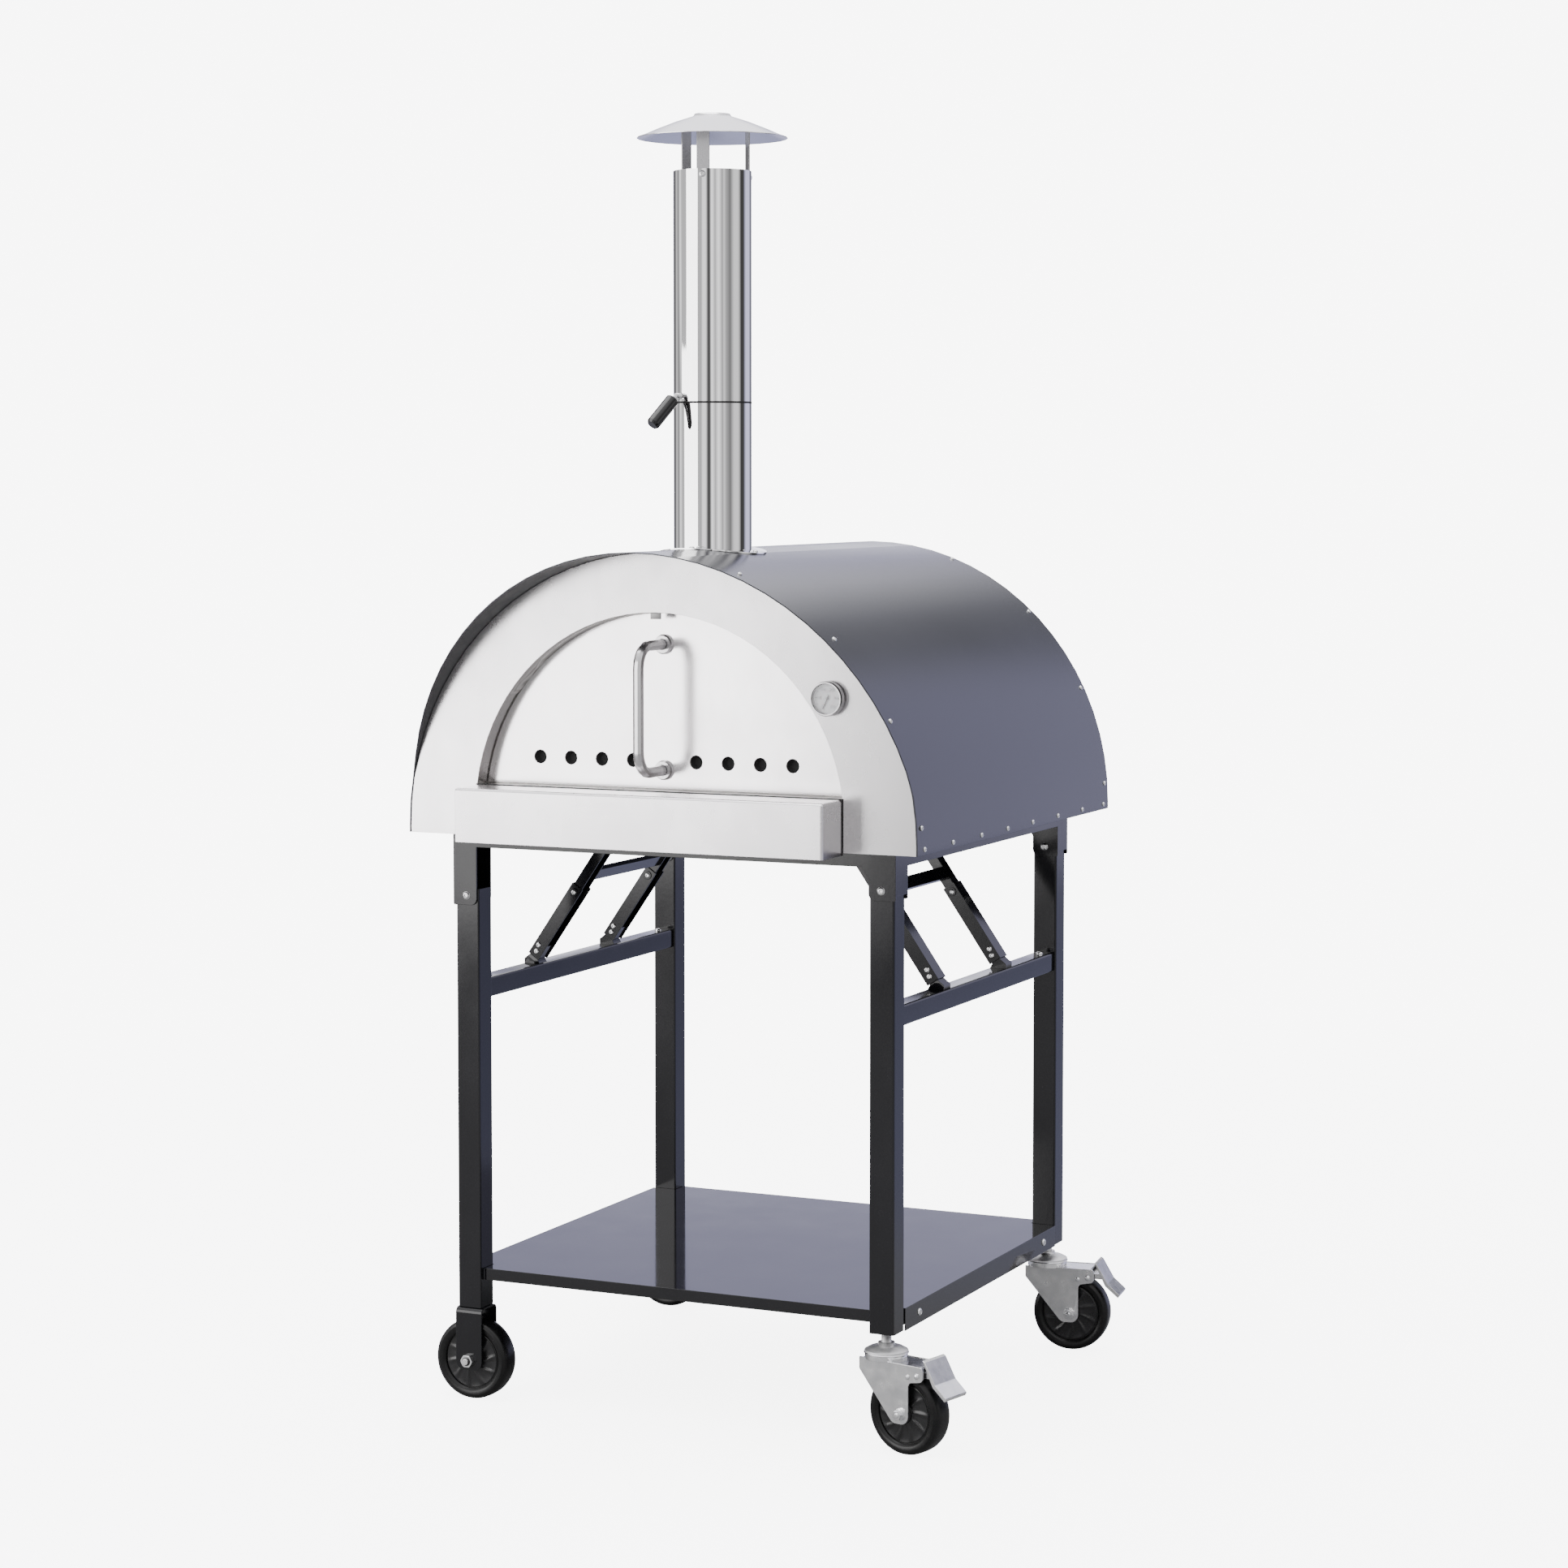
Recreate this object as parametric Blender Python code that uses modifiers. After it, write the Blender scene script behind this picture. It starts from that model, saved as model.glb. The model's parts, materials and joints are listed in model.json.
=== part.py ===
"""Wood fired pizza oven on a wheeled folding stand, built from separate sub-parts.

Metres, +Z up. The oven's front faces -Y and the floor is at Z = 0. The sub-parts are drawn with
the chimney's axis at X = 0, Y = 0, and the last step centres the whole on its footprint.
"""
import math

import bmesh
import bpy
from mathutils import Matrix, Vector

OBJECT_NAME = "pizza_oven"

# Sheet, gaps and smoothness
GAP = 0.0003
SHEET = 0.0015
ARC_STEPS = 36
PIPE_STEPS = 28
WHEEL_STEPS = 24
SMALL_STEPS = 14
CASTER_STEPS = 20
CUT = 0.001

# Oven body
BASE_Z = 0.708
SHELL_R = 0.337
SHELL_CENTRE_Z = 0.718
SHELL_FRONT_Y = -0.157
SHELL_BACK_Y = 0.490
RAKE_START_Z = 0.785
RAKE_SLOPE = 0.23
PANEL_FRONT_Y = -0.1563
BOARD_TOP_Z = 0.7393
HEARTH_Z = 0.770

# Arch opening, its jamb and the inner dome
ARCH_R = 0.2445
ARCH_CENTRE_Z = 0.738
STOP_FACE_Y = -0.130
STOP_INNER_R = 0.215
DOME_FRONT_Y = -0.1273
DOME_BACK_Y = 0.462

# Door
DOOR_R = 0.2430
DOOR_BOTTOM_Z = HEARTH_Z + 0.0015
VENT_PITCH = 0.042
VENT_R = 0.0086
VENT_Z = 0.8045
VENTS_PER_SIDE = 4
HANDLE_LOW_Z = 0.794
HANDLE_HIGH_Z = 0.944
HANDLE_STANDOFF = 0.0675
HANDLE_BAR_R = 0.0064
HANDLE_BEND_R = 0.026

# Front ledge
LEDGE_HALF_WIDTH = 0.242
LEDGE_FRONT_Y = -0.2125
LEDGE_BOTTOM_Z = 0.705

# Thermometer
GAUGE_X = 0.2258
GAUGE_Z = 0.887
GAUGE_R = 0.0205
GAUGE_DEPTH = 0.012
NEEDLE_REST_DEG = 205.0

# Chimney, damper and rain cap
PIPE_R = 0.0475
PIPE_WALL = 0.001
PIPE_BOTTOM_Z = 0.974
PIPE_SEAM_Z = 1.2325
PIPE_TOP_Z = 1.5115
DAMPER_Z = 1.240
DAMPER_ROD_DEG = 243.0
CAP_R = 0.0915
CAP_RIM_Z = 1.552
CAP_TOP_Z = 1.5805
STRUT_FIRST_DEG = -78.5

# Stand
LEG = 0.032
LEG_WALL = 0.002
LEG_X = 0.277
LEG_FRONT_Y = -0.105
LEG_BACK_Y = 0.432
PIVOT_Z = {"left": 0.629, "right": 0.662}
LEG_BOTTOM_Z = {"left": 0.116, "right": 0.139}
FRAME_BOTTOM_Z = 0.689
FRAME_TOP_Z = 0.7075
EAR_INSET = {"left": 0.002, "right": 0.0}
EAR_GUSSET = 0.009
FRAME_WALL = 0.002
RAIL = 0.025
RAIL_TOP_Z = 0.524
LOWER_RAIL_TOP_Z = 0.1625
SHELF_TOP_Z = 0.165
SHELF_SHEET = 0.0012

# Folding stays: foot, middle and top pivots in the right-hand X, Z plane
STAY_FOOT = Vector((0.270, 0.540))
STAY_MIDDLE = Vector((0.216, 0.618))
STAY_TOP_Z = 0.690
STAY_FRONT_Y = 0.053
STAY_BACK_Y = 0.258
STAY_WIDTH = 0.024
STAY_WALL = 0.0016
STAY_DEPTH = 0.017
CROSS_BAR_Z = 0.640

# Wheels
WHEEL_R = 0.050
WHEEL_HALF_WIDTH = 0.015
HUB_HALF_WIDTH = 0.0165
AXLE_R = 0.004
FORK_SHEET = 0.002
FORK_BEND_R = 0.0065
CASTER_TRAIL = 0.034
CASTER_TURN_DEG = {"front": -13.0, "back": 8.0}

# Middle of the footprint, seen from the chimney's axis
PLAN_CENTRE = Vector((0.02123, 0.13545, 0.0))

SIDES = {"left": -1.0, "right": 1.0}
ENDS = {"front": LEG_FRONT_Y, "back": LEG_BACK_Y}


# ---------------------------------------------------------------- scene and materials

def clear_scene():
    """Remove every object, so that the script can be run again."""
    for obj in list(bpy.data.objects):
        bpy.data.objects.remove(obj, do_unlink=True)


def new_collection(name):
    """Make a collection and link it to the scene."""
    collection = bpy.data.collections.new(name)
    bpy.context.scene.collection.children.link(collection)
    return collection


def new_material(name, colour, metallic, roughness):
    """Make a Principled material from its colour, metallic and roughness values."""
    material = bpy.data.materials.new(name)
    material.use_nodes = True
    shader = material.node_tree.nodes["Principled BSDF"]
    shader.inputs["Base Color"].default_value = (*colour, 1.0)
    shader.inputs["Metallic"].default_value = metallic
    shader.inputs["Roughness"].default_value = roughness
    material.diffuse_color = (*colour, 1.0)
    return material


clear_scene()
PARTS = new_collection(OBJECT_NAME)
CUTTERS = new_collection("cutters")

BRUSHED = new_material("brushed_steel", (0.78, 0.76, 0.76), 1.0, 0.32)
POLISHED = new_material("polished_steel", (0.82, 0.82, 0.83), 1.0, 0.10)
SHELL_PAINT = new_material("charcoal_paint", (0.10, 0.10, 0.115), 0.3, 0.42)
BLACK_PAINT = new_material("black_paint", (0.025, 0.025, 0.03), 0.2, 0.22)
ZINC = new_material("zinc", (0.62, 0.64, 0.66), 1.0, 0.30)
RUBBER = new_material("black_rubber", (0.015, 0.015, 0.016), 0.0, 0.55)
PLASTIC = new_material("black_plastic", (0.02, 0.02, 0.02), 0.0, 0.30)
STONE = new_material("fire_stone", (0.62, 0.55, 0.45), 0.0, 0.90)
FIBRE = new_material("ceramic_fibre", (0.85, 0.84, 0.80), 0.0, 0.95)
DIAL_WHITE = new_material("dial_white", (0.86, 0.86, 0.85), 0.0, 0.45)
GLASS = new_material("gauge_glass", (0.90, 0.92, 0.93), 0.0, 0.05)


# ---------------------------------------------------------------- modelling helpers

def add_object(name, data, material=None, parent=None, cutter=False):
    """Link new data as an object, in the parts or in the cutters collection."""
    obj = bpy.data.objects.new(name, data)
    if cutter:
        CUTTERS.objects.link(obj)
        obj.hide_render = True
        obj.display_type = "WIRE"
    else:
        PARTS.objects.link(obj)
        data.materials.append(material)
    obj.parent = parent
    return obj


def smooth(obj, angle_deg=35.0):
    """Shade round faces smooth and keep the hard edges."""
    obj.data.shade_smooth()
    obj.data.set_sharp_from_angle(angle=math.radians(angle_deg))


def mesh_from(bm, name):
    """Turn a bmesh into mesh data with outward normals."""
    bmesh.ops.recalc_face_normals(bm, faces=bm.faces)
    mesh = bpy.data.meshes.new(name)
    bm.to_mesh(mesh)
    bm.free()
    return mesh


def box(name, low, high, material=None, parent=None, cutter=False, bevel=0.0):
    """Make a box between two corners, with optional rounded edges."""
    low = Vector(low)
    high = Vector(high)
    bm = bmesh.new()
    bmesh.ops.create_cube(bm, size=1.0)
    bmesh.ops.scale(bm, vec=high - low, verts=bm.verts)
    obj = add_object(name, mesh_from(bm, name), material, parent, cutter)
    obj.location = (low + high) / 2
    if bevel:
        add_bevel(obj, bevel)
    return obj


def add_bevel(obj, width, segments=2):
    """Round the hard edges with a Bevel modifier."""
    modifier = obj.modifiers.new("rounded_edges", "BEVEL")
    modifier.width = width
    modifier.segments = segments
    modifier.limit_method = "ANGLE"


def add_solidify(obj, thickness):
    """Give an open surface its sheet thickness, on the inner side."""
    modifier = obj.modifiers.new("sheet", "SOLIDIFY")
    modifier.thickness = thickness
    modifier.offset = -1.0
    modifier.use_even_offset = True


def aim(obj, direction):
    """Turn an object so that its local Z axis lies along a direction."""
    up = Vector((0.0, 0.0, 1.0))
    obj.rotation_mode = "QUATERNION"
    obj.rotation_quaternion = up.rotation_difference(Vector(direction).normalized())


def cylinder(name, radius, start, end, material=None, parent=None, cutter=False, steps=SMALL_STEPS):
    """Make a cylinder between two points."""
    start = Vector(start)
    end = Vector(end)
    bm = bmesh.new()
    bmesh.ops.create_cone(bm, cap_ends=True, segments=steps, radius1=radius, radius2=radius,
                          depth=(end - start).length)
    obj = add_object(name, mesh_from(bm, name), material, parent, cutter)
    obj.location = (start + end) / 2
    aim(obj, end - start)
    smooth(obj)
    return obj


def turned(name, profile, material, origin=(0, 0, 0), axis=(0, 0, 1), steps=PIPE_STEPS, parent=None,
           cutter=False):
    """Spin a profile of (radius, height) points round an axis with a Screw modifier.

    A profile that starts on the axis is left as a chain, and any other is closed into a loop.
    """
    on_axis = profile[0][0] == 0.0
    mesh = bpy.data.meshes.new(name)
    points = [(radius, 0.0, height) for radius, height in profile]
    edges = [(i, i + 1) for i in range(len(points) - 1)]
    if not on_axis:
        edges.append((len(points) - 1, 0))
    mesh.from_pydata(points, edges, [])
    obj = add_object(name, mesh, material, parent, cutter)
    obj.location = origin
    aim(obj, axis)
    screw = obj.modifiers.new("turned", "SCREW")
    screw.steps = steps
    screw.render_steps = steps
    screw.use_merge_vertices = True
    screw.merge_threshold = 0.00001
    screw.use_smooth_shade = True
    screw.use_normal_flip = signed_area(profile) > 0
    return obj


def signed_area(points):
    """Return the signed area of a closed outline, positive when it runs anticlockwise."""
    total = 0.0
    for (x0, y0), (x1, y1) in zip(points, points[1:] + points[:1]):
        total += x0 * y1 - x1 * y0
    return total / 2


def plate(name, outlines, y_front, y_back, material=None, parent=None, cutter=False):
    """Extrude flat X, Z outlines along Y; the outlines after the first are holes."""
    curve = bpy.data.curves.new(name, "CURVE")
    curve.dimensions = "2D"
    curve.fill_mode = "BOTH"
    curve.extrude = (y_back - y_front) / 2
    for outline in outlines:
        spline = curve.splines.new("POLY")
        spline.points.add(len(outline) - 1)
        for point, (x, z) in zip(spline.points, outline):
            point.co = (x, z, 0.0, 1.0)
        spline.use_cyclic_u = True
    flat = bpy.data.objects.new(name, curve)
    bm = bmesh.new()
    bm.from_mesh(flat.to_mesh())
    flat.to_mesh_clear()
    bpy.data.objects.remove(flat, do_unlink=True)
    bmesh.ops.remove_doubles(bm, verts=bm.verts, dist=0.00001)
    bmesh.ops.rotate(bm, verts=bm.verts, cent=(0, 0, 0), matrix=Matrix.Rotation(math.pi / 2, 3, "X"))
    obj = add_object(name, mesh_from(bm, name), material, parent, cutter)
    obj.location = (0.0, (y_front + y_back) / 2, 0.0)
    return obj


def rod_along(name, points, radius, material, parent=None, cutter=False, resolution=3):
    """Make a round bar along a list of points, as a bevelled curve with filled caps."""
    curve = bpy.data.curves.new(name, "CURVE")
    curve.dimensions = "3D"
    curve.bevel_depth = radius
    curve.bevel_resolution = resolution
    curve.use_fill_caps = True
    spline = curve.splines.new("POLY")
    spline.points.add(len(points) - 1)
    for point, place in zip(spline.points, points):
        point.co = (*place, 1.0)
    bar = bpy.data.objects.new(name, curve)
    bm = bmesh.new()
    bm.from_mesh(bar.to_mesh())
    bar.to_mesh_clear()
    bpy.data.objects.remove(bar, do_unlink=True)
    bmesh.ops.remove_doubles(bm, verts=bm.verts, dist=0.00001)
    obj = add_object(name, mesh_from(bm, name), material, parent, cutter)
    smooth(obj)
    return obj


def boolean(target, tool, operation="DIFFERENCE"):
    """Cut, join or intersect a target with a tool from the cutters collection."""
    modifier = target.modifiers.new(tool.name, "BOOLEAN")
    modifier.object = tool
    modifier.operation = operation
    modifier.solver = "EXACT"


def join(target, tools):
    """Weld several solids onto a target."""
    for tool in tools:
        boolean(target, tool, "UNION")


# ---------------------------------------------------------------- outlines

def circle(radius, x=0.0, z=0.0, steps=SMALL_STEPS):
    """Return a circle's points in the X, Z plane."""
    turns = [2 * math.pi * i / steps for i in range(steps)]
    return [(x + radius * math.cos(a), z + radius * math.sin(a)) for a in turns]


def vault(radius, centre_z, bottom_z, steps=ARC_STEPS):
    """Return a round-topped outline from its lower left end over the top to its lower right end."""
    rise = (bottom_z - centre_z) / radius
    first = math.asin(max(0.0, rise))
    span = math.pi - 2 * first
    turns = [math.pi - first - span * i / steps for i in range(steps + 1)]
    points = [(radius * math.cos(a), centre_z + radius * math.sin(a)) for a in turns]
    if rise < 0:
        points = [(-radius, bottom_z)] + points + [(radius, bottom_z)]
    return points


def rounded(corners, steps=4):
    """Return an outline whose (x, z, radius) corners are rounded with arcs."""
    outline = []
    count = len(corners)
    for i in range(count):
        here = Vector(corners[i][:2])
        radius = corners[i][2]
        if not radius:
            outline.append(tuple(here))
            continue
        back = (Vector(corners[i - 1][:2]) - here).normalized()
        ahead = (Vector(corners[(i + 1) % count][:2]) - here).normalized()
        half = back.angle(ahead) / 2
        centre = here + (back + ahead).normalized() * radius / math.sin(half)
        first = here + back * radius / math.tan(half) - centre
        last = here + ahead * radius / math.tan(half) - centre
        for step in range(steps + 1):
            spoke = first.lerp(last, step / steps).normalized() * radius
            outline.append(tuple(centre + spoke))
    return outline


def mirrored(outline, side):
    """Return an outline on the side asked for, from one drawn at positive X."""
    return [(x * side, z) for x, z in outline]


# ---------------------------------------------------------------- oven body

def vault_sheet(name, section, front_y, back_y, thickness, material):
    """Bend a grid over a vault's outline and give it its thickness inwards."""
    columns = len(section) - 1
    bm = bmesh.new()
    bmesh.ops.create_grid(bm, x_segments=columns, y_segments=1, size=1.0)
    for vert in bm.verts:
        x, z = section[round((vert.co.x + 1) / 2 * columns)]
        y = front_y(z) if vert.co.y < 0 else back_y
        vert.co = (x, y, z)
    mesh = bpy.data.meshes.new(name)
    bm.to_mesh(mesh)
    bm.free()
    obj = add_object(name, mesh, material)
    add_solidify(obj, thickness)
    smooth(obj)
    return obj


def shell_front(z):
    """Return the shell's front edge, which leans forward towards the top."""
    return SHELL_FRONT_Y - RAKE_SLOPE * max(0.0, z - RAKE_START_Z)


def build_casing():
    """Outer shell, front and back panels, with the holes for the flue and the gauge."""
    shell = vault_sheet("outer_shell", vault(SHELL_R, SHELL_CENTRE_Z, BASE_Z), shell_front,
                        SHELL_BACK_Y, SHEET, SHELL_PAINT)
    flue_hole = cylinder("shell_flue_hole", PIPE_R + 0.0015, (0, 0, 1.0), (0, 0, 1.1), cutter=True,
                         steps=PIPE_STEPS)
    boolean(shell, flue_hole)

    panel_r = SHELL_R - SHEET - 2 * GAP
    outline = vault(panel_r, SHELL_CENTRE_Z, BASE_Z)
    arch = vault(ARCH_R, ARCH_CENTRE_Z, HEARTH_Z)
    gauge_hole = circle(0.0045, GAUGE_X, GAUGE_Z)
    plate("front_panel", [outline, arch, gauge_hole], PANEL_FRONT_Y, PANEL_FRONT_Y + SHEET, BRUSHED)
    plate("back_panel", [outline], SHELL_BACK_Y - 0.0035, SHELL_BACK_Y - 0.002, BRUSHED)


def build_inner_dome():
    """Stainless dome that the fire and the pizza sit under, and the wall at its back."""
    section = vault(ARCH_R + SHEET, ARCH_CENTRE_Z, BOARD_TOP_Z + GAP)
    dome = vault_sheet("inner_dome", section, lambda z: DOME_FRONT_Y, DOME_BACK_Y, SHEET, BRUSHED)
    flue_hole = cylinder("dome_flue_hole", PIPE_R + GAP, (0, 0, 0.9), (0, 0, 1.05), cutter=True,
                         steps=PIPE_STEPS)
    boolean(dome, flue_hole)
    plate("inner_back_wall", [section], DOME_BACK_Y + GAP, DOME_BACK_Y + GAP + SHEET, BRUSHED)


def build_insulation():
    """Ceramic fibre that fills the space between the dome and the shell."""
    fill = vault(SHELL_R - SHEET - 4 * GAP, SHELL_CENTRE_Z, BOARD_TOP_Z + GAP)
    blanket = plate("insulation_blanket", [fill], PANEL_FRONT_Y + SHEET + GAP, SHELL_BACK_Y - 0.004, FIBRE)
    cavity = vault(ARCH_R + SHEET + 3 * GAP, ARCH_CENTRE_Z, BOARD_TOP_Z - 0.002)
    dome_space = plate("dome_space", [cavity], -0.20, DOME_BACK_Y + SHEET + 2 * GAP, cutter=True)
    flue_space = cylinder("flue_space", PIPE_R + 0.0008, (0, 0, 0.9), (0, 0, 1.1), cutter=True,
                          steps=PIPE_STEPS)
    stem_space = cylinder("stem_space", 0.0045, (GAUGE_X, -0.20, GAUGE_Z), (GAUGE_X, -0.095, GAUGE_Z),
                          cutter=True)
    for tool in (dome_space, flue_space, stem_space):
        boolean(blanket, tool)


def build_floor():
    """Steel base pan, insulating board and the two fire stones of the hearth."""
    half = SHELL_R - SHEET - 2 * GAP
    front = PANEL_FRONT_Y + SHEET + GAP
    back = SHELL_BACK_Y - 0.004
    pan_top = BASE_Z + 0.002
    box("base_pan", (-half, front, BASE_Z), (half, back, pan_top), BLACK_PAINT)
    box("floor_board", (-half + 0.0005, front, pan_top + GAP), (half - 0.0005, back, BOARD_TOP_Z), FIBRE)
    stone_half_width = 0.2385
    stone_top = HEARTH_Z - 0.0002
    for name, start, end in (("hearth_stone_left", -stone_half_width, -0.0005),
                             ("hearth_stone_right", 0.0005, stone_half_width)):
        box(name, (start, DOME_FRONT_Y, BOARD_TOP_Z + GAP), (end, DOME_BACK_Y - GAP, stone_top), STONE,
            bevel=0.0015)


def build_jamb():
    """Sheet lining of the arch opening, with the flange that the door closes against."""
    outer = vault(ARCH_R + SHEET, ARCH_CENTRE_Z, HEARTH_Z - SHEET)
    inner = vault(ARCH_R, ARCH_CENTRE_Z, HEARTH_Z)
    jamb = plate("arch_jamb", [outer, inner], PANEL_FRONT_Y + SHEET + GAP, STOP_FACE_Y + SHEET, BRUSHED)
    stop = vault(STOP_INNER_R, ARCH_CENTRE_Z, HEARTH_Z + 0.001)
    rim = vault(ARCH_R + SHEET / 2, ARCH_CENTRE_Z, HEARTH_Z - SHEET / 2)
    flange = plate("jamb_flange", [rim, stop], STOP_FACE_Y, STOP_FACE_Y + SHEET, cutter=True)
    boolean(jamb, flange, "UNION")


def build_ledge():
    """Folded sheet ledge in front of the opening, open at its back and underneath."""
    low = Vector((-LEDGE_HALF_WIDTH, LEDGE_FRONT_Y, LEDGE_BOTTOM_Z))
    high = Vector((LEDGE_HALF_WIDTH, PANEL_FRONT_Y - GAP, HEARTH_Z))
    bm = bmesh.new()
    bmesh.ops.create_cube(bm, size=1.0)
    bmesh.ops.scale(bm, vec=high - low, verts=bm.verts)
    unwanted = [face for face in bm.faces if face.normal.y > 0.5 or face.normal.z < -0.5]
    bmesh.ops.delete(bm, geom=unwanted, context="FACES_ONLY")
    mesh = bpy.data.meshes.new("front_ledge")
    bm.to_mesh(mesh)
    bm.free()
    ledge = add_object("front_ledge", mesh, BRUSHED)
    ledge.location = (low + high) / 2
    add_bevel(ledge, 0.003)
    add_solidify(ledge, SHEET)


# ---------------------------------------------------------------- door

def arch_path(low_z, high_z, standoff, bend, steps=5):
    """Return a D handle's centre line, out of the door, down and back in."""
    corners = [(high_z, -1.0), (low_z, 1.0)]
    points = [(0.0, 0.0, high_z)]
    for corner_z, turn in corners:
        centre_z = corner_z + turn * bend
        for step in range(steps + 1):
            angle = math.pi / 2 * step / steps
            out = math.sin(angle) if turn < 0 else math.cos(angle)
            along = math.cos(angle) if turn < 0 else math.sin(angle)
            points.append((0.0, -(standoff - bend) - bend * out, centre_z - turn * bend * along))
    points.append((0.0, 0.0, low_z))
    return points


def build_door():
    """Door leaf with its vent holes, insulating pad, D handle and the handle's ferrules."""
    vents = [side * VENT_PITCH * (i + 1) for i in range(VENTS_PER_SIDE) for side in (-1.0, 1.0)]
    holes = [circle(VENT_R, x, VENT_Z, steps=12) for x in vents]
    leaf_back = STOP_FACE_Y - GAP
    leaf_front = leaf_back - SHEET
    leaf = vault(DOOR_R, ARCH_CENTRE_Z, DOOR_BOTTOM_Z)
    plate("door_panel", [leaf] + holes, leaf_front, leaf_back, BRUSHED)
    pad = vault(STOP_INNER_R - 0.002, ARCH_CENTRE_Z, HEARTH_Z + 0.003)
    plate("door_insulation", [pad] + holes, leaf_back + GAP, leaf_back + 0.018, FIBRE)

    path = arch_path(HANDLE_LOW_Z, HANDLE_HIGH_Z, HANDLE_STANDOFF, HANDLE_BEND_R)
    handle = rod_along("door_handle", path, HANDLE_BAR_R, BRUSHED)
    handle.location = (0.0, leaf_front - GAP, 0.0)
    for name, z in (("handle_ferrule_lower", HANDLE_LOW_Z), ("handle_ferrule_upper", HANDLE_HIGH_Z)):
        bore = HANDLE_BAR_R + 0.0004
        profile = [(bore, 0.0), (0.012, 0.0), (0.012, 0.003), (0.0105, 0.006), (bore, 0.006)]
        turned(name, profile, BRUSHED, (0.0, leaf_front - GAP, z), (0, -1, 0), SMALL_STEPS)


# ---------------------------------------------------------------- thermometer

def build_thermometer():
    """Cup-shaped case with its stem, the dial, the needle on its pivot and the glass."""
    front = (GAUGE_X, PANEL_FRONT_Y, GAUGE_Z)
    cup_r = GAUGE_R - 0.0025
    case = [(0.0, -0.055), (0.003, -0.055), (0.003, GAP), (cup_r, GAP), (GAUGE_R, 0.003),
            (GAUGE_R, GAUGE_DEPTH - 0.002), (GAUGE_R - 0.001, GAUGE_DEPTH), (cup_r, GAUGE_DEPTH),
            (cup_r, 0.0035), (0.0, 0.0035)]
    turned("thermometer_case", case, POLISHED, front, (0, -1, 0), PIPE_STEPS)
    face_r = cup_r - 0.0005
    for name, near, far, material in (("thermometer_dial", 0.0038, 0.0046, DIAL_WHITE),
                                      ("thermometer_glass", 0.0090, 0.0102, GLASS)):
        cylinder(name, face_r, (GAUGE_X, PANEL_FRONT_Y - near, GAUGE_Z),
                 (GAUGE_X, PANEL_FRONT_Y - far, GAUGE_Z), material, steps=PIPE_STEPS)

    pivot = bpy.data.objects.new("needle_pivot", None)
    PARTS.objects.link(pivot)
    pivot.location = (GAUGE_X, PANEL_FRONT_Y - 0.0060, GAUGE_Z)
    pivot.rotation_euler = (0.0, math.radians(NEEDLE_REST_DEG), 0.0)
    needle = box("thermometer_needle", (-0.0006, -0.0004, -0.0045), (0.0006, 0.0004, 0.0135), BLACK_PAINT,
                 parent=pivot)
    hub = cylinder("needle_hub", 0.0018, (0, -0.0006, 0), (0, 0.0006, 0), parent=pivot, cutter=True, steps=16)
    boolean(needle, hub, "UNION")


# ---------------------------------------------------------------- chimney

def build_chimney():
    """Saddle collar on the shell, two flue pipes, three straps and the rain cap."""
    collar_r = 0.066
    saddle_r = SHELL_R + GAP + SHEET
    turns = [math.radians(90 + 14 * (1 - i / 6)) for i in range(13)]
    section = [(saddle_r * math.cos(a), SHELL_CENTRE_Z + saddle_r * math.sin(a)) for a in turns]
    collar = vault_sheet("chimney_collar", section, lambda z: -0.08, 0.08, SHEET, POLISHED)
    outside = cylinder("collar_outside", collar_r, (0, 0, 1.0), (0, 0, 1.1), cutter=True, steps=PIPE_STEPS)
    inside = cylinder("collar_inside", PIPE_R + 2 * GAP, (0, 0, 1.0), (0, 0, 1.1), cutter=True,
                      steps=PIPE_STEPS)
    boolean(collar, outside, "INTERSECT")
    boolean(collar, inside)

    inner = PIPE_R - PIPE_WALL
    lower = [(PIPE_R, PIPE_BOTTOM_Z), (PIPE_R, PIPE_SEAM_Z - GAP), (inner, PIPE_SEAM_Z - GAP),
             (inner, PIPE_BOTTOM_Z)]
    turned("chimney_lower", lower, POLISHED)
    spigot_r = inner - 0.0004
    upper = [(spigot_r, PIPE_SEAM_Z - 0.030), (spigot_r, PIPE_SEAM_Z), (PIPE_R, PIPE_SEAM_Z + 0.0006),
             (PIPE_R, PIPE_TOP_Z), (inner, PIPE_TOP_Z), (inner, PIPE_SEAM_Z + 0.0016),
             (spigot_r - PIPE_WALL, PIPE_SEAM_Z + 0.001), (spigot_r - PIPE_WALL, PIPE_SEAM_Z - 0.030)]
    upper_pipe = turned("chimney_upper", upper, POLISHED)
    axis = damper_axis()
    centre = Vector((0.0, 0.0, DAMPER_Z))
    rod_holes = cylinder("damper_rod_holes", 0.0034, centre - axis * 0.06, centre + axis * 0.06, cutter=True)
    boolean(upper_pipe, rod_holes)

    top = [(0.0, CAP_TOP_Z), (0.0215, CAP_TOP_Z), (0.0235, CAP_TOP_Z - 0.003),
           (0.0445, CAP_TOP_Z - 0.0098), (0.0675, CAP_TOP_Z - 0.0188), (0.083, CAP_TOP_Z - 0.0255),
           (CAP_R, CAP_RIM_Z)]
    sheet = 0.001
    under = [(radius, height - sheet) for radius, height in reversed(top)]
    turned("rain_cap", top + under, BRUSHED)

    for number in range(3):
        turn = math.radians(STRUT_FIRST_DEG + 120 * number)
        strut = box(f"cap_strut_{number + 1}", (-0.008, -SHEET / 2, PIPE_TOP_Z - 0.030),
                    (0.008, SHEET / 2, 1.5665), BRUSHED)
        strut.location.x = 0.0444 * math.cos(turn)
        strut.location.y = 0.0444 * math.sin(turn)
        strut.rotation_euler = (0.0, 0.0, turn + math.pi / 2)


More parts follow.
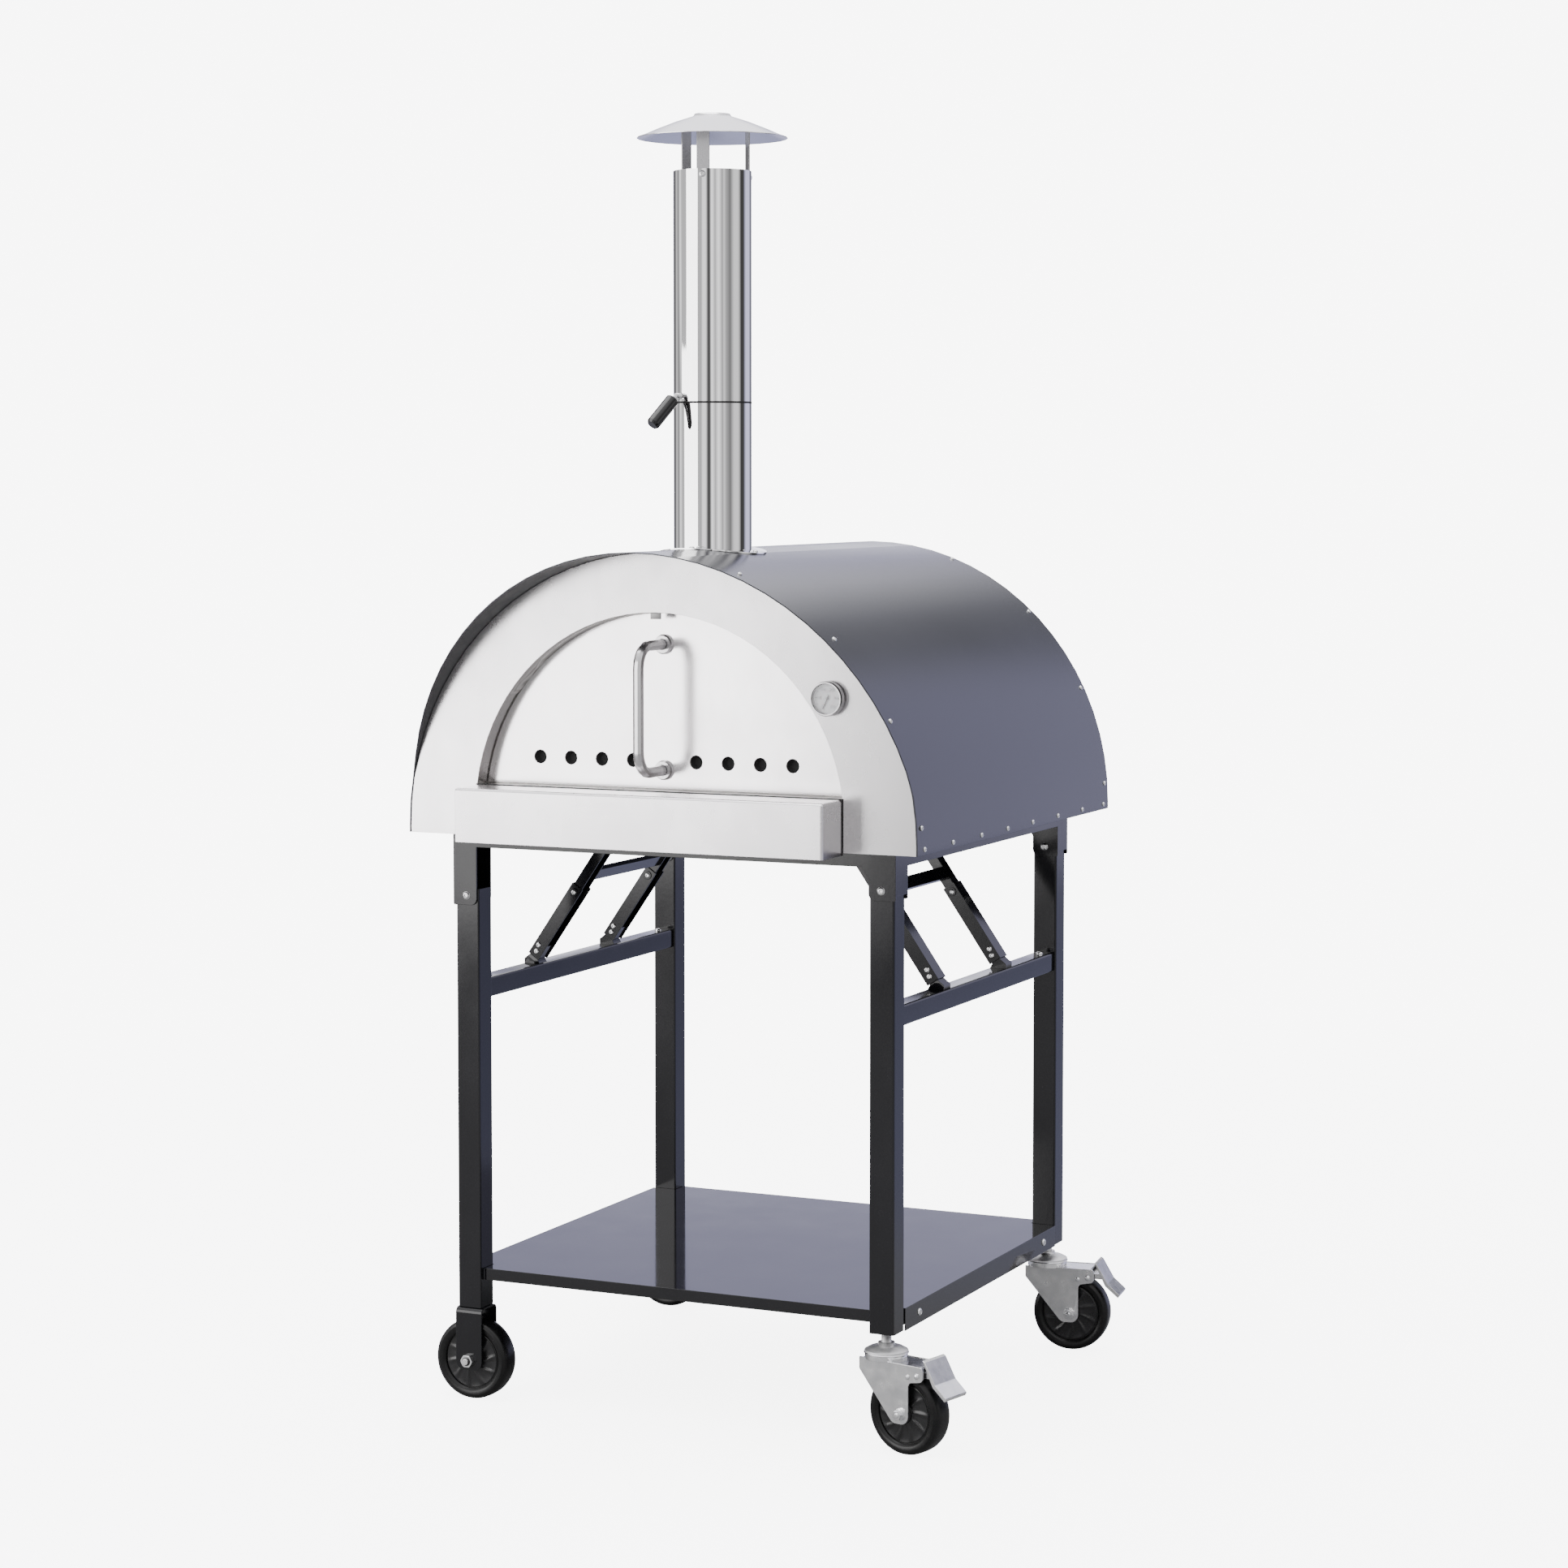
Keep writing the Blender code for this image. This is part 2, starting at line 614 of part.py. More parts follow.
def damper_axis():
    """Return the direction in which the damper's rod leaves the pipe."""
    turn = math.radians(DAMPER_ROD_DEG)
    return Vector((math.cos(turn), math.sin(turn), 0.0))


def build_damper():
    """Round blade on a bent rod, with a plastic grip; at rest the blade stands open."""
    axis = damper_axis()
    centre = Vector((0.0, 0.0, DAMPER_Z))
    across = axis.cross(Vector((0, 0, 1)))
    slope = (axis - Vector((0, 0, 1))).normalized()
    bend = centre + axis * 0.0555
    blade = cylinder("damper_blade", 0.0435, centre - across * 0.0006, centre + across * 0.0006, POLISHED,
                     steps=PIPE_STEPS)
    path = [centre - axis * 0.050, bend, bend + slope * 0.014]
    rod = rod_along("damper_rod", path, 0.003, None, cutter=True, resolution=2)
    boolean(blade, rod, "UNION")

    grip_r = 0.0085
    bore_r = 0.0034
    profile = [(0.0, 0.0445), (grip_r - 0.002, 0.0445), (grip_r, 0.0415), (grip_r, 0.0015),
               (grip_r - 0.0015, 0.0), (bore_r, 0.0), (bore_r, 0.0095), (0.0, 0.0095)]
    turned("damper_grip", profile, PLASTIC, bend + slope * 0.006, slope, SMALL_STEPS)


# ---------------------------------------------------------------- stand

def square_tube(name, low, high, open_axis, wall, material):
    """Make a square tube between two corners, open at both ends of one axis."""
    low = Vector(low)
    high = Vector(high)
    bm = bmesh.new()
    bmesh.ops.create_cube(bm, size=1.0)
    bmesh.ops.scale(bm, vec=high - low, verts=bm.verts)
    ends = [face for face in bm.faces if abs(face.normal[open_axis]) > 0.5]
    bmesh.ops.delete(bm, geom=ends, context="FACES_ONLY")
    mesh = bpy.data.meshes.new(name)
    bm.to_mesh(mesh)
    bm.free()
    obj = add_object(name, mesh, material)
    obj.location = (low + high) / 2
    add_bevel(obj, 0.0025)
    add_solidify(obj, wall)
    return obj


def build_base_frame():
    """Welded ring under the oven with an ear round each leg top and the hangers for the stays."""
    leg_out = LEG_X + LEG / 2
    inner_x = leg_out + GAP
    outer_x = inner_x + FRAME_WALL
    front_in = LEG_FRONT_Y - LEG / 2 - GAP
    front_out = front_in - FRAME_WALL
    back_in = LEG_BACK_Y + LEG / 2 + GAP
    back_out = back_in + FRAME_WALL
    flange = 0.022
    frame = box("base_frame", (-outer_x, front_out, FRAME_BOTTOM_Z), (outer_x, back_out, FRAME_TOP_Z),
                BLACK_PAINT)
    hollow = box("frame_hollow", (-inner_x, front_in, 0.6), (inner_x, back_in, FRAME_TOP_Z - FRAME_WALL),
                 cutter=True)
    mouth = box("frame_mouth", (-inner_x + flange, front_in + flange, 0.6),
                (inner_x - flange, back_in - flange, 0.8), cutter=True)
    boolean(frame, hollow)
    boolean(frame, mouth)
    welded = []
    for side_name, side in SIDES.items():
        bottom = PIVOT_Z[side_name] - 0.012
        ear_in = LEG_X - LEG / 2 + EAR_INSET[side_name]
        weld_z = FRAME_BOTTOM_Z + 0.004
        corners = [(ear_in, bottom, 0.008), (outer_x, bottom, 0.002), (outer_x, weld_z, 0.0)]
        if side_name == "right":
            gusset_x = ear_in - EAR_GUSSET
            corners += [(gusset_x, weld_z, 0.0), (gusset_x, FRAME_BOTTOM_Z, 0.0),
                        (ear_in, FRAME_BOTTOM_Z - 1.5 * EAR_GUSSET, 0.0)]
        else:
            corners += [(ear_in, weld_z, 0.0)]
        ear = mirrored(rounded(corners), side)
        bolt_hole = circle(0.0046, side * LEG_X, PIVOT_Z[side_name], 12)
        for end, leg_y in ENDS.items():
            near = leg_y - LEG / 2 - GAP
            far = leg_y + LEG / 2 + GAP
            name = f"{side_name}_{end}"
            welded.append(plate(f"ear_near_{name}", [ear, bolt_hole], near - FRAME_WALL, near, cutter=True))
            welded.append(plate(f"ear_far_{name}", [ear, bolt_hole], far, far + FRAME_WALL, cutter=True))
            low_x = min(side * inner_x, side * outer_x)
            high_x = max(side * inner_x, side * outer_x)
            welded.append(box(f"ear_side_{name}", (low_x, near - FRAME_WALL / 2, bottom + 0.006),
                              (high_x, far + FRAME_WALL / 2, weld_z), cutter=True))
        top = stay_point(1.0)
        strip_low = min(side * (top.x - 0.014), side * (top.x + 0.016))
        strip_high = max(side * (top.x - 0.014), side * (top.x + 0.016))
        welded.append(box(f"hanger_strip_{side_name}", (strip_low, front_in - 0.001, FRAME_TOP_Z - 0.004),
                          (strip_high, back_in + 0.001, FRAME_TOP_Z - 0.001), cutter=True))
        half = STAY_WIDTH / 2 - 2 * STAY_WALL - 2 * GAP
        for end, stay_y in (("front", STAY_FRONT_Y), ("back", STAY_BACK_Y)):
            outline = mirrored(hanger_outline(), side)
            welded.append(plate(f"hanger_{side_name}_{end}", [outline], stay_y - half, stay_y + half,
                                cutter=True))
    join(frame, welded)


def stay_direction():
    """Return the unit vector up along the right-hand stay, in X, Z."""
    return (STAY_MIDDLE - STAY_FOOT).normalized()


def stay_outward():
    """Return the unit vector out of the right-hand stay's back, in X, Z."""
    along = stay_direction()
    return Vector((along.y, -along.x))


def stay_point(amount):
    """Return the point on the right-hand stay's line: 0 at the middle pivot, 1 at the top pivot."""
    along = stay_direction()
    length = (STAY_TOP_Z - STAY_MIDDLE.y) / along.y
    return STAY_MIDDLE + along * length * amount


def from_pivot(pivot, along_distance, outward_distance):
    """Return a point given along and across the stay from one of its pivots."""
    return tuple(pivot + stay_direction() * along_distance + stay_outward() * outward_distance)


def hanger_outline():
    """Return the block that carries the top of a stay, at positive X."""
    top = stay_point(1.0)
    return [from_pivot(top, -0.007, -0.005), from_pivot(top, -0.007, 0.005), from_pivot(top, 0.0075, 0.005),
            (top.x + 0.006, FRAME_TOP_Z - 0.0025), (top.x - 0.012, FRAME_TOP_Z - 0.0025),
            from_pivot(top, 0.0075, -0.005)]


def foot_outline():
    """Return the foot block that stands on a rail under a stay, at positive X."""
    rail_side = LEG_X + RAIL / 2
    return [from_pivot(STAY_FOOT, 0.011, -0.0063), from_pivot(STAY_FOOT, 0.011, 0.0063),
            from_pivot(STAY_FOOT, -0.0088, 0.0063), (rail_side - 0.001, 0.5300), (rail_side - 0.001, 0.5232),
            (rail_side - 0.023, 0.5232), from_pivot(STAY_FOOT, -0.0088, -0.0063)]


def channel(name, start, end, y_centre, width, side, material=None, cutter=False):
    """Make a U-section link between two X, Z points, with its back facing up and outward."""
    along = (end - start)
    depth = STAY_DEPTH if width == STAY_WIDTH else STAY_DEPTH - 2 * STAY_WALL - 2 * GAP
    bm = bmesh.new()
    bmesh.ops.create_cube(bm, size=1.0)
    bmesh.ops.scale(bm, vec=(depth, width, along.length), verts=bm.verts)
    unwanted = [face for face in bm.faces if abs(face.normal.z) > 0.5 or face.normal.x * side < -0.5]
    bmesh.ops.delete(bm, geom=unwanted, context="FACES_ONLY")
    mesh = bpy.data.meshes.new(name)
    bm.to_mesh(mesh)
    bm.free()
    obj = add_object(name, mesh, material, cutter=cutter)
    middle = (start + end) / 2
    obj.location = (side * middle.x, y_centre, middle.y)
    obj.rotation_euler = (0.0, side * math.atan2(along.x, along.y), 0.0)
    add_solidify(obj, STAY_WALL)
    return obj


def build_stays():
    """Two-link folding stays: a lower link each, and per side one yoke of two upper links and a bar."""
    along = stay_direction()
    top = stay_point(1.0)
    upper_width = STAY_WIDTH - 2 * STAY_WALL - 2 * GAP
    bar_x = stay_point((CROSS_BAR_Z - STAY_MIDDLE.y) / (STAY_TOP_Z - STAY_MIDDLE.y)).x
    for side_name, side in SIDES.items():
        for end, stay_y in (("front", STAY_FRONT_Y), ("back", STAY_BACK_Y)):
            channel(f"stay_lower_{side_name}_{end}", STAY_FOOT - along * 0.008, STAY_MIDDLE + along * 0.009,
                    stay_y, STAY_WIDTH, side, BLACK_PAINT)
        yoke_start = STAY_MIDDLE - along * 0.008
        yoke_end = top + along * 0.007
        yoke = channel(f"stay_yoke_{side_name}", yoke_start, yoke_end, STAY_FRONT_Y, upper_width, side,
                       BLACK_PAINT)
        rear = channel(f"yoke_rear_{side_name}", yoke_start, yoke_end, STAY_BACK_Y, upper_width, side,
                       cutter=True)
        bar = box(f"cross_bar_{side_name}", (-0.0035, STAY_FRONT_Y + upper_width / 2 - 0.001, -0.008),
                  (0.0035, STAY_BACK_Y - upper_width / 2 + 0.001, 0.008), cutter=True)
        bar.location.x = side * bar_x
        bar.location.z = CROSS_BAR_Z
        bar.rotation_euler = (0.0, side * math.atan2(along.x, along.y), 0.0)
        join(yoke, [rear, bar])


def build_legs_and_rails():
    """Four square legs, and per side an upper rail with two stay feet and a lower rail."""
    half = LEG / 2
    front_y = LEG_FRONT_Y + half + GAP
    back_y = LEG_BACK_Y - half - GAP
    foot_half = STAY_WIDTH / 2 - STAY_WALL - GAP
    for side_name, side in SIDES.items():
        x = side * LEG_X
        for end, leg_y in ENDS.items():
            square_tube(f"leg_{end}_{side_name}", (x - half, leg_y - half, LEG_BOTTOM_Z[side_name]),
                        (x + half, leg_y + half, PIVOT_Z[side_name] + 0.008), 2, LEG_WALL, BLACK_PAINT)
        rail = square_tube(f"upper_rail_{side_name}", (x - RAIL / 2, front_y, RAIL_TOP_Z - RAIL),
                           (x + RAIL / 2, back_y, RAIL_TOP_Z), 1, LEG_WALL, BLACK_PAINT)
        feet = [plate(f"stay_foot_{side_name}_{end}", [mirrored(foot_outline(), side)], stay_y - foot_half,
                      stay_y + foot_half, cutter=True)
                for end, stay_y in (("front", STAY_FRONT_Y), ("back", STAY_BACK_Y))]
        join(rail, feet)
        square_tube(f"lower_rail_{side_name}", (x - RAIL / 2, front_y, LOWER_RAIL_TOP_Z - 0.020),
                    (x + RAIL / 2, back_y, LOWER_RAIL_TOP_Z), 1, LEG_WALL, BLACK_PAINT)


def build_shelf():
    """Bottom shelf, notched round the legs, with a folded lip on each outer edge."""
    half = LEG / 2
    outer_x = LEG_X + half + 0.001
    notch_x = LEG_X - half - 0.001
    front_y = LEG_FRONT_Y - half + 0.008
    back_y = LEG_BACK_Y + half - 0.008
    notch_front_y = LEG_FRONT_Y + half + 0.001
    notch_back_y = LEG_BACK_Y - half - 0.001
    xs = [-outer_x, -notch_x, notch_x, outer_x]
    ys = [front_y, notch_front_y, notch_back_y, back_y]
    bm = bmesh.new()
    bmesh.ops.create_grid(bm, x_segments=3, y_segments=3, size=1.0)
    corners = [face for face in bm.faces
               if abs(face.calc_center_median().x) > 0.5 and abs(face.calc_center_median().y) > 0.5]
    bmesh.ops.delete(bm, geom=corners, context="FACES")
    for vert in bm.verts:
        column = round((vert.co.x + 1) * 1.5)
        row = round((vert.co.y + 1) * 1.5)
        vert.co = (xs[column], ys[row], SHELF_TOP_Z)
    lips = {"x": 0.027, "y": 0.0145}
    outer_edges = []
    for edge in bm.edges:
        places = [vert.co for vert in edge.verts]
        on_side = all(abs(abs(place.x) - outer_x) < GAP for place in places)
        on_end = all(min(abs(place.y - front_y), abs(place.y - back_y)) < GAP for place in places)
        if on_side or on_end:
            outer_edges.append((edge, lips["x"] if on_side else lips["y"]))
    for edge, drop in outer_edges:
        made = bmesh.ops.extrude_edge_only(bm, edges=[edge])["geom"]
        new_verts = [item for item in made if isinstance(item, bmesh.types.BMVert)]
        bmesh.ops.translate(bm, vec=(0, 0, -drop), verts=new_verts)
    shelf = add_object("shelf", mesh_from(bm, "shelf"), BLACK_PAINT)
    add_solidify(shelf, SHELF_SHEET)


# ---------------------------------------------------------------- wheels

def wheel_profile():
    """Return a wheel's closed profile, with a bore for the axle."""
    bore = AXLE_R + 0.0005
    side = [(bore, HUB_HALF_WIDTH), (0.0155, HUB_HALF_WIDTH), (0.0175, 0.0115), (0.0355, 0.0105),
            (0.0385, WHEEL_HALF_WIDTH), (WHEEL_R - 0.003, WHEEL_HALF_WIDTH), (WHEEL_R, 0.010)]
    return side + [(radius, -height) for radius, height in reversed(side)]


def build_fixed_wheels():
    """Wheels on the left legs: a bent fork under the leg, a bolt as axle, and the wheel."""
    x = -LEG_X
    plate_in = HUB_HALF_WIDTH + 0.0008
    plate_out = plate_in + FORK_SHEET
    top = LEG_BOTTOM_Z["left"] - GAP
    under = top - FORK_SHEET
    inner_r = FORK_BEND_R - FORK_SHEET
    bend = [(-plate_out, 0.030, 0.0), (-plate_out, top, FORK_BEND_R), (plate_out, top, FORK_BEND_R),
            (plate_out, 0.030, 0.0), (plate_in, 0.030, 0.0), (plate_in, under, inner_r),
            (-plate_in, under, inner_r), (-plate_in, 0.030, 0.0)]
    corners = [(x - 0.018, 0.038, 0.010), (x + 0.018, 0.038, 0.010), (x + 0.018, 0.130, 0.0),
               (x - 0.018, 0.130, 0.0)]
    hole = circle(AXLE_R + GAP, x, WHEEL_R, 16)
    for end, leg_y in ENDS.items():
        fork = plate(f"fixed_fork_{end}", [rounded(bend)], -0.020, 0.020, BLACK_PAINT)
        fork.rotation_euler = (0.0, 0.0, math.pi / 2)
        fork.location = (x, leg_y, 0.0)
        side_view = plate(f"fork_side_view_{end}", [rounded(corners), hole], leg_y - 0.030, leg_y + 0.030,
                          cutter=True)
        boolean(fork, side_view, "INTERSECT")
        turned(f"fixed_wheel_{end}", wheel_profile(), RUBBER, (x, leg_y, WHEEL_R), (0, -1, 0), WHEEL_STEPS)
        head = plate_out + GAP
        axle = [(0.0, head + 0.0045), (0.0068, head + 0.0045), (0.0068, head), (AXLE_R, head),
                (AXLE_R, -head), (0.0068, -head), (0.0068, -head - 0.006), (AXLE_R, -head - 0.006),
                (AXLE_R, -head - 0.010), (0.0, -head - 0.010)]
        turned(f"fixed_axle_{end}", axle, ZINC, (x, leg_y, WHEEL_R), (0, 1, 0), 12)


def build_casters():
    """Swivel casters under the right legs: stem, fork with its axle, wheel and brake pedal."""
    for end, leg_y in ENDS.items():
        swivel = bpy.data.objects.new(f"caster_swivel_{end}", None)
        PARTS.objects.link(swivel)
        swivel.location = (LEG_X, leg_y, 0.0)
        swivel.rotation_euler = (0.0, 0.0, math.radians(CASTER_TURN_DEG[end]))

        mount = [(0.0, 0.165), (0.006, 0.165), (0.006, 0.1275), (0.010, 0.1275), (0.010, 0.1230),
                 (0.020, 0.1218), (0.026, 0.1185), (0.026, 0.1152), (0.0, 0.1152)]
        turned(f"caster_mount_{end}", mount, ZINC, parent=swivel, steps=CASTER_STEPS)

        crown_top = 0.1149
        crown_bottom = 0.1085
        fork = cylinder(f"caster_fork_{end}", 0.0255, (0, 0, crown_bottom), (0, 0, crown_top), ZINC,
                        parent=swivel, steps=CASTER_STEPS)
        cheek_in = HUB_HALF_WIDTH + 0.0010
        cheek_out = cheek_in + 0.0025
        bridge = box(f"fork_plate_{end}", (-0.022, -cheek_out + CUT, 0.1065),
                     (0.061, cheek_out - CUT, crown_bottom + CUT), parent=swivel, cutter=True)
        front_x = CASTER_TRAIL - 0.0110
        back_x = CASTER_TRAIL + 0.0115
        cheek = rounded([(-0.025, 0.1100, 0.0), (-0.025, 0.0960, 0.004), (front_x, 0.0385, 0.010),
                         (back_x, 0.0385, 0.010), (back_x, 0.0890, 0.006), (0.0660, 0.0925, 0.005),
                         (0.0660, 0.1100, 0.004)])
        cheeks = [plate(f"fork_cheek_{number}_{end}", [cheek], y, y + 0.0025, parent=swivel, cutter=True)
                  for number, y in enumerate((-cheek_out, cheek_in))]
        shaft = cylinder(f"fork_axle_{end}", AXLE_R, (CASTER_TRAIL, -cheek_out - 0.001, WHEEL_R),
                         (CASTER_TRAIL, cheek_out + 0.001, WHEEL_R), parent=swivel, cutter=True)
        heads = [cylinder(f"fork_axle_head_{number}_{end}", 0.0072, (CASTER_TRAIL, y, WHEEL_R),
                          (CASTER_TRAIL, y + 0.0045, WHEEL_R), parent=swivel, cutter=True, steps=12)
                 for number, y in enumerate((-cheek_out - 0.004, cheek_out - 0.0005))]
        join(fork, [bridge] + cheeks + [shaft] + heads)

        turned(f"caster_wheel_{end}", wheel_profile(), RUBBER, (CASTER_TRAIL, 0.0, WHEEL_R), (0, -1, 0),
               WHEEL_STEPS, parent=swivel)

        arm = rounded([(0.0540, 0.0965, 0.0015), (0.0784, 0.0965, 0.0), (0.0784, 0.1035, 0.0),
                       (0.0540, 0.1035, 0.0015)])
        brake = plate(f"caster_brake_{end}", [arm], -0.014, 0.014, ZINC, parent=swivel)
        toe = rounded([(0.0672, 0.1190, 0.0), (0.0705, 0.1175, 0.0), (0.0850, 0.0925, 0.004),
                       (0.1010, 0.0785, 0.002), (0.0985, 0.0750, 0.0), (0.0815, 0.0895, 0.004)])
        pedal = plate(f"brake_pedal_{end}", [toe], -0.021, 0.021, parent=swivel, cutter=True)
        boolean(brake, pedal, "UNION")


# ---------------------------------------------------------------- assembly

def centre_on_footprint():
    """Move the whole oven so that the middle of its footprint is at X = 0, Y = 0."""
    for obj in list(PARTS.objects) + list(CUTTERS.objects):
        if obj.parent is None:
            obj.location -= PLAN_CENTRE


build_casing()
build_inner_dome()
build_insulation()
build_floor()
build_jamb()
build_ledge()
build_door()
build_thermometer()
build_chimney()
build_damper()
build_base_frame()
build_legs_and_rails()
build_stays()
build_shelf()
build_fixed_wheels()
build_casters()
centre_on_footprint()
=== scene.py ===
"""Looks for the wood fired pizza oven: materials, small hardware, wheels, stage, lights and camera.

Metres, +Z up. The oven's front faces -Y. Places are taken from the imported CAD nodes.
"""

import json
import math

import bmesh
import bpy
from mathutils import Matrix, Vector

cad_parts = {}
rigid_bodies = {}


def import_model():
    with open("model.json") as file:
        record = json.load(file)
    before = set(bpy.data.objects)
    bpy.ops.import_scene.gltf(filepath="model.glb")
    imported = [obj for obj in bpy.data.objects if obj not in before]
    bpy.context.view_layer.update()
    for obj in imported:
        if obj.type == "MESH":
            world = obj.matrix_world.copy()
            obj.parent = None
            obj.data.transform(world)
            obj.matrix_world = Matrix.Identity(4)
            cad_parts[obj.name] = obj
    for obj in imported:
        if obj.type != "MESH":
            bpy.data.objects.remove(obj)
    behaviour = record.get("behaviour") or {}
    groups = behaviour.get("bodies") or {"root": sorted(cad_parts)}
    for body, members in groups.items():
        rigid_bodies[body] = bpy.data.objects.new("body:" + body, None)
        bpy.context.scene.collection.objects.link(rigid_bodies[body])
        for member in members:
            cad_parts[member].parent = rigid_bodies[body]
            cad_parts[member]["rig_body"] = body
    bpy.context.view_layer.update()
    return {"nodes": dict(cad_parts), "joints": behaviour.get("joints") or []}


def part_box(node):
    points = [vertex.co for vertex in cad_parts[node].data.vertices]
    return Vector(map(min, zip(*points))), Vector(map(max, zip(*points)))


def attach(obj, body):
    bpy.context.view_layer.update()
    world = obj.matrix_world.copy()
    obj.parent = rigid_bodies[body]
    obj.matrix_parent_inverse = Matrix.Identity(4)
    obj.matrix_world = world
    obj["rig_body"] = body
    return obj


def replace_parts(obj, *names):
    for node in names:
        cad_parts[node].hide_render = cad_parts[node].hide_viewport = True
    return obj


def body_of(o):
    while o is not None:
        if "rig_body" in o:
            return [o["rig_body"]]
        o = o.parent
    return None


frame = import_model()
NODES = frame["nodes"]


# ---------------------------------------------------------------- places from the CAD

def middle(node):
    """Return the middle of a CAD node's box."""
    low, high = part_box(node)
    return (low + high) / 2


FLUE = middle("chimney_upper")
SIDES = {"left": -1.0, "right": 1.0}
ENDS = ("front", "back")
LEG = {(side, end): middle(f"leg_{end}_{side}") for side in SIDES for end in ENDS}
SHELL_CENTRE_Z = 0.718                          # the shell's arc is struck from this height
SADDLE_R = 0.337 + 0.0018                       # top of the chimney collar's saddle, from that centre
RAKE_START_Z = 0.785                            # above this the hood's front edge leans forward
RAKE = 0.23                                     # how far it leans for each metre of height
PIVOT_Z = {"left": 0.629, "right": 0.662}       # leg pivots
STAY_FOOT = Vector((0.270, 0.540))              # stay pivots: distance from the middle, and height
STAY_MIDDLE = Vector((0.216, 0.618))
RAIL_TOP_Z = 0.524
STUD_X = 0.277                                  # screws on the upper rails, from the middle
SHELF_SCREW_Z = 0.1515
VENT_Z = 0.8045
VENT_PITCH = 0.042
WHEEL_R = 0.050
WHEEL_HALF = 0.015                              # half the tread's width


def at(x, y, z):
    """Return a point given from the chimney's axis."""
    return Vector((FLUE.x + x, FLUE.y + y, z))


# ---------------------------------------------------------------- shader helpers

WHITE = (1.0, 1.0, 1.0, 1.0)


def new_shader(name, colour, metallic=0.0, roughness=0.5):
    """Make a material and return it with its node tree and its Principled shader."""
    material = bpy.data.materials.new(name)
    material.use_nodes = True
    tree = material.node_tree
    shader = tree.nodes["Principled BSDF"]
    shader.inputs["Base Color"].default_value = (*colour, 1.0)
    shader.inputs["Metallic"].default_value = metallic
    shader.inputs["Roughness"].default_value = roughness
    material.diffuse_color = (*colour, 1.0)
    return material, tree, shader


def add_node(tree, kind, settings=None, **inputs):
    """Add a node, with its settings and the values or links of its inputs, by name or as i0, i1, ..."""
    node = tree.nodes.new(kind)
    for key, value in (settings or {}).items():
        setattr(node, key, value)
    for key, value in inputs.items():
        by_number = key[0] == "i" and key[1:].isdigit()
        socket = node.inputs[int(key[1:]) if by_number else key]
        if isinstance(value, bpy.types.NodeSocket):
            tree.links.new(value, socket)
        else:
            socket.default_value = value
    return node


def stretched(tree, scale):
    """Return the object's own coordinates, in metres, scaled along each axis."""
    place = add_node(tree, "ShaderNodeTexCoord").outputs["Object"]
    return add_node(tree, "ShaderNodeMapping", Vector=place, Scale=scale).outputs["Vector"]


def noise(tree, scale, detail=3.0, roughness=0.55):
    """Return a noise value over coordinates scaled alike, or along each axis."""
    scale = scale if isinstance(scale, tuple) else (scale,) * 3
    return add_node(tree, "ShaderNodeTexNoise", Vector=stretched(tree, scale), Scale=1.0, Detail=detail,
                    Roughness=roughness).outputs["Fac"]


def cells(tree, scale):
    """Return the distance to the nearest of many scattered points."""
    vector = stretched(tree, (scale,) * 3)
    return add_node(tree, "ShaderNodeTexVoronoi", Vector=vector, Scale=1.0).outputs["Distance"]


def spread(tree, value, low, high, from_low=0.3, from_high=0.7):
    """Return a value stretched to a new range and clamped."""
    limits = {"From Min": from_low, "From Max": from_high, "To Min": low, "To Max": high}
    return add_node(tree, "ShaderNodeMapRange", Value=value, **limits).outputs["Result"]


def math_node(tree, operation, first, second=0.0):
    """Return the result of a Math node."""
    return add_node(tree, "ShaderNodeMath", {"operation": operation}, i0=first, i1=second).outputs[0]


def tint(tree, fac, dark, light):
    """Return a colour that runs between two colours."""
    node = add_node(tree, "ShaderNodeMix", {"data_type": "RGBA"})
    tree.links.new(fac, node.inputs["Factor"])
    for socket, colour in ((node.inputs[6], dark), (node.inputs[7], light)):
        if isinstance(colour, bpy.types.NodeSocket):
            tree.links.new(colour, socket)
        else:
            socket.default_value = (*colour, 1.0)
    return node.outputs[2]


def bump(tree, height, distance, strength=1.0, normal=None):
    """Return a normal from a height, on top of another normal if one is given."""
    node = add_node(tree, "ShaderNodeBump", Height=height, Distance=distance, Strength=strength)
    if normal is not None:
        tree.links.new(normal, node.inputs["Normal"])
    return node.outputs["Normal"]


def soft_edges(tree, radius):
    """Return a normal that rounds the edges."""
    return add_node(tree, "ShaderNodeBevel", {"samples": 4}, Radius=radius).outputs["Normal"]


def edge_mask(tree, radius):
    """Return a value that is one on edges and zero on flat faces."""
    plain = add_node(tree, "ShaderNodeNewGeometry").outputs["Normal"]
    rounded = soft_edges(tree, radius)
    dot = add_node(tree, "ShaderNodeVectorMath", {"operation": "DOT_PRODUCT"}, i0=rounded, i1=plain)
    return spread(tree, dot.outputs["Value"], 1.0, 0.0, 0.80, 0.985)


def shaded(colour, share):
    """Return a colour made darker or lighter by a share."""
    return tuple(min(1.0, value * share) for value in colour)


def finish_shader(tree, shader, colour=None, roughness=None, normal=None):
    """Link what a material drives from its nodes."""
    for name, socket in (("Base Color", colour), ("Roughness", roughness), ("Normal", normal)):
        if socket is not None:
            tree.links.new(socket, shader.inputs[name])


# ---------------------------------------------------------------- materials

BRUSHED = {"x": (6.0, 1500.0, 1500.0), "y": (1500.0, 6.0, 1500.0), "z": (1500.0, 1500.0, 6.0)}


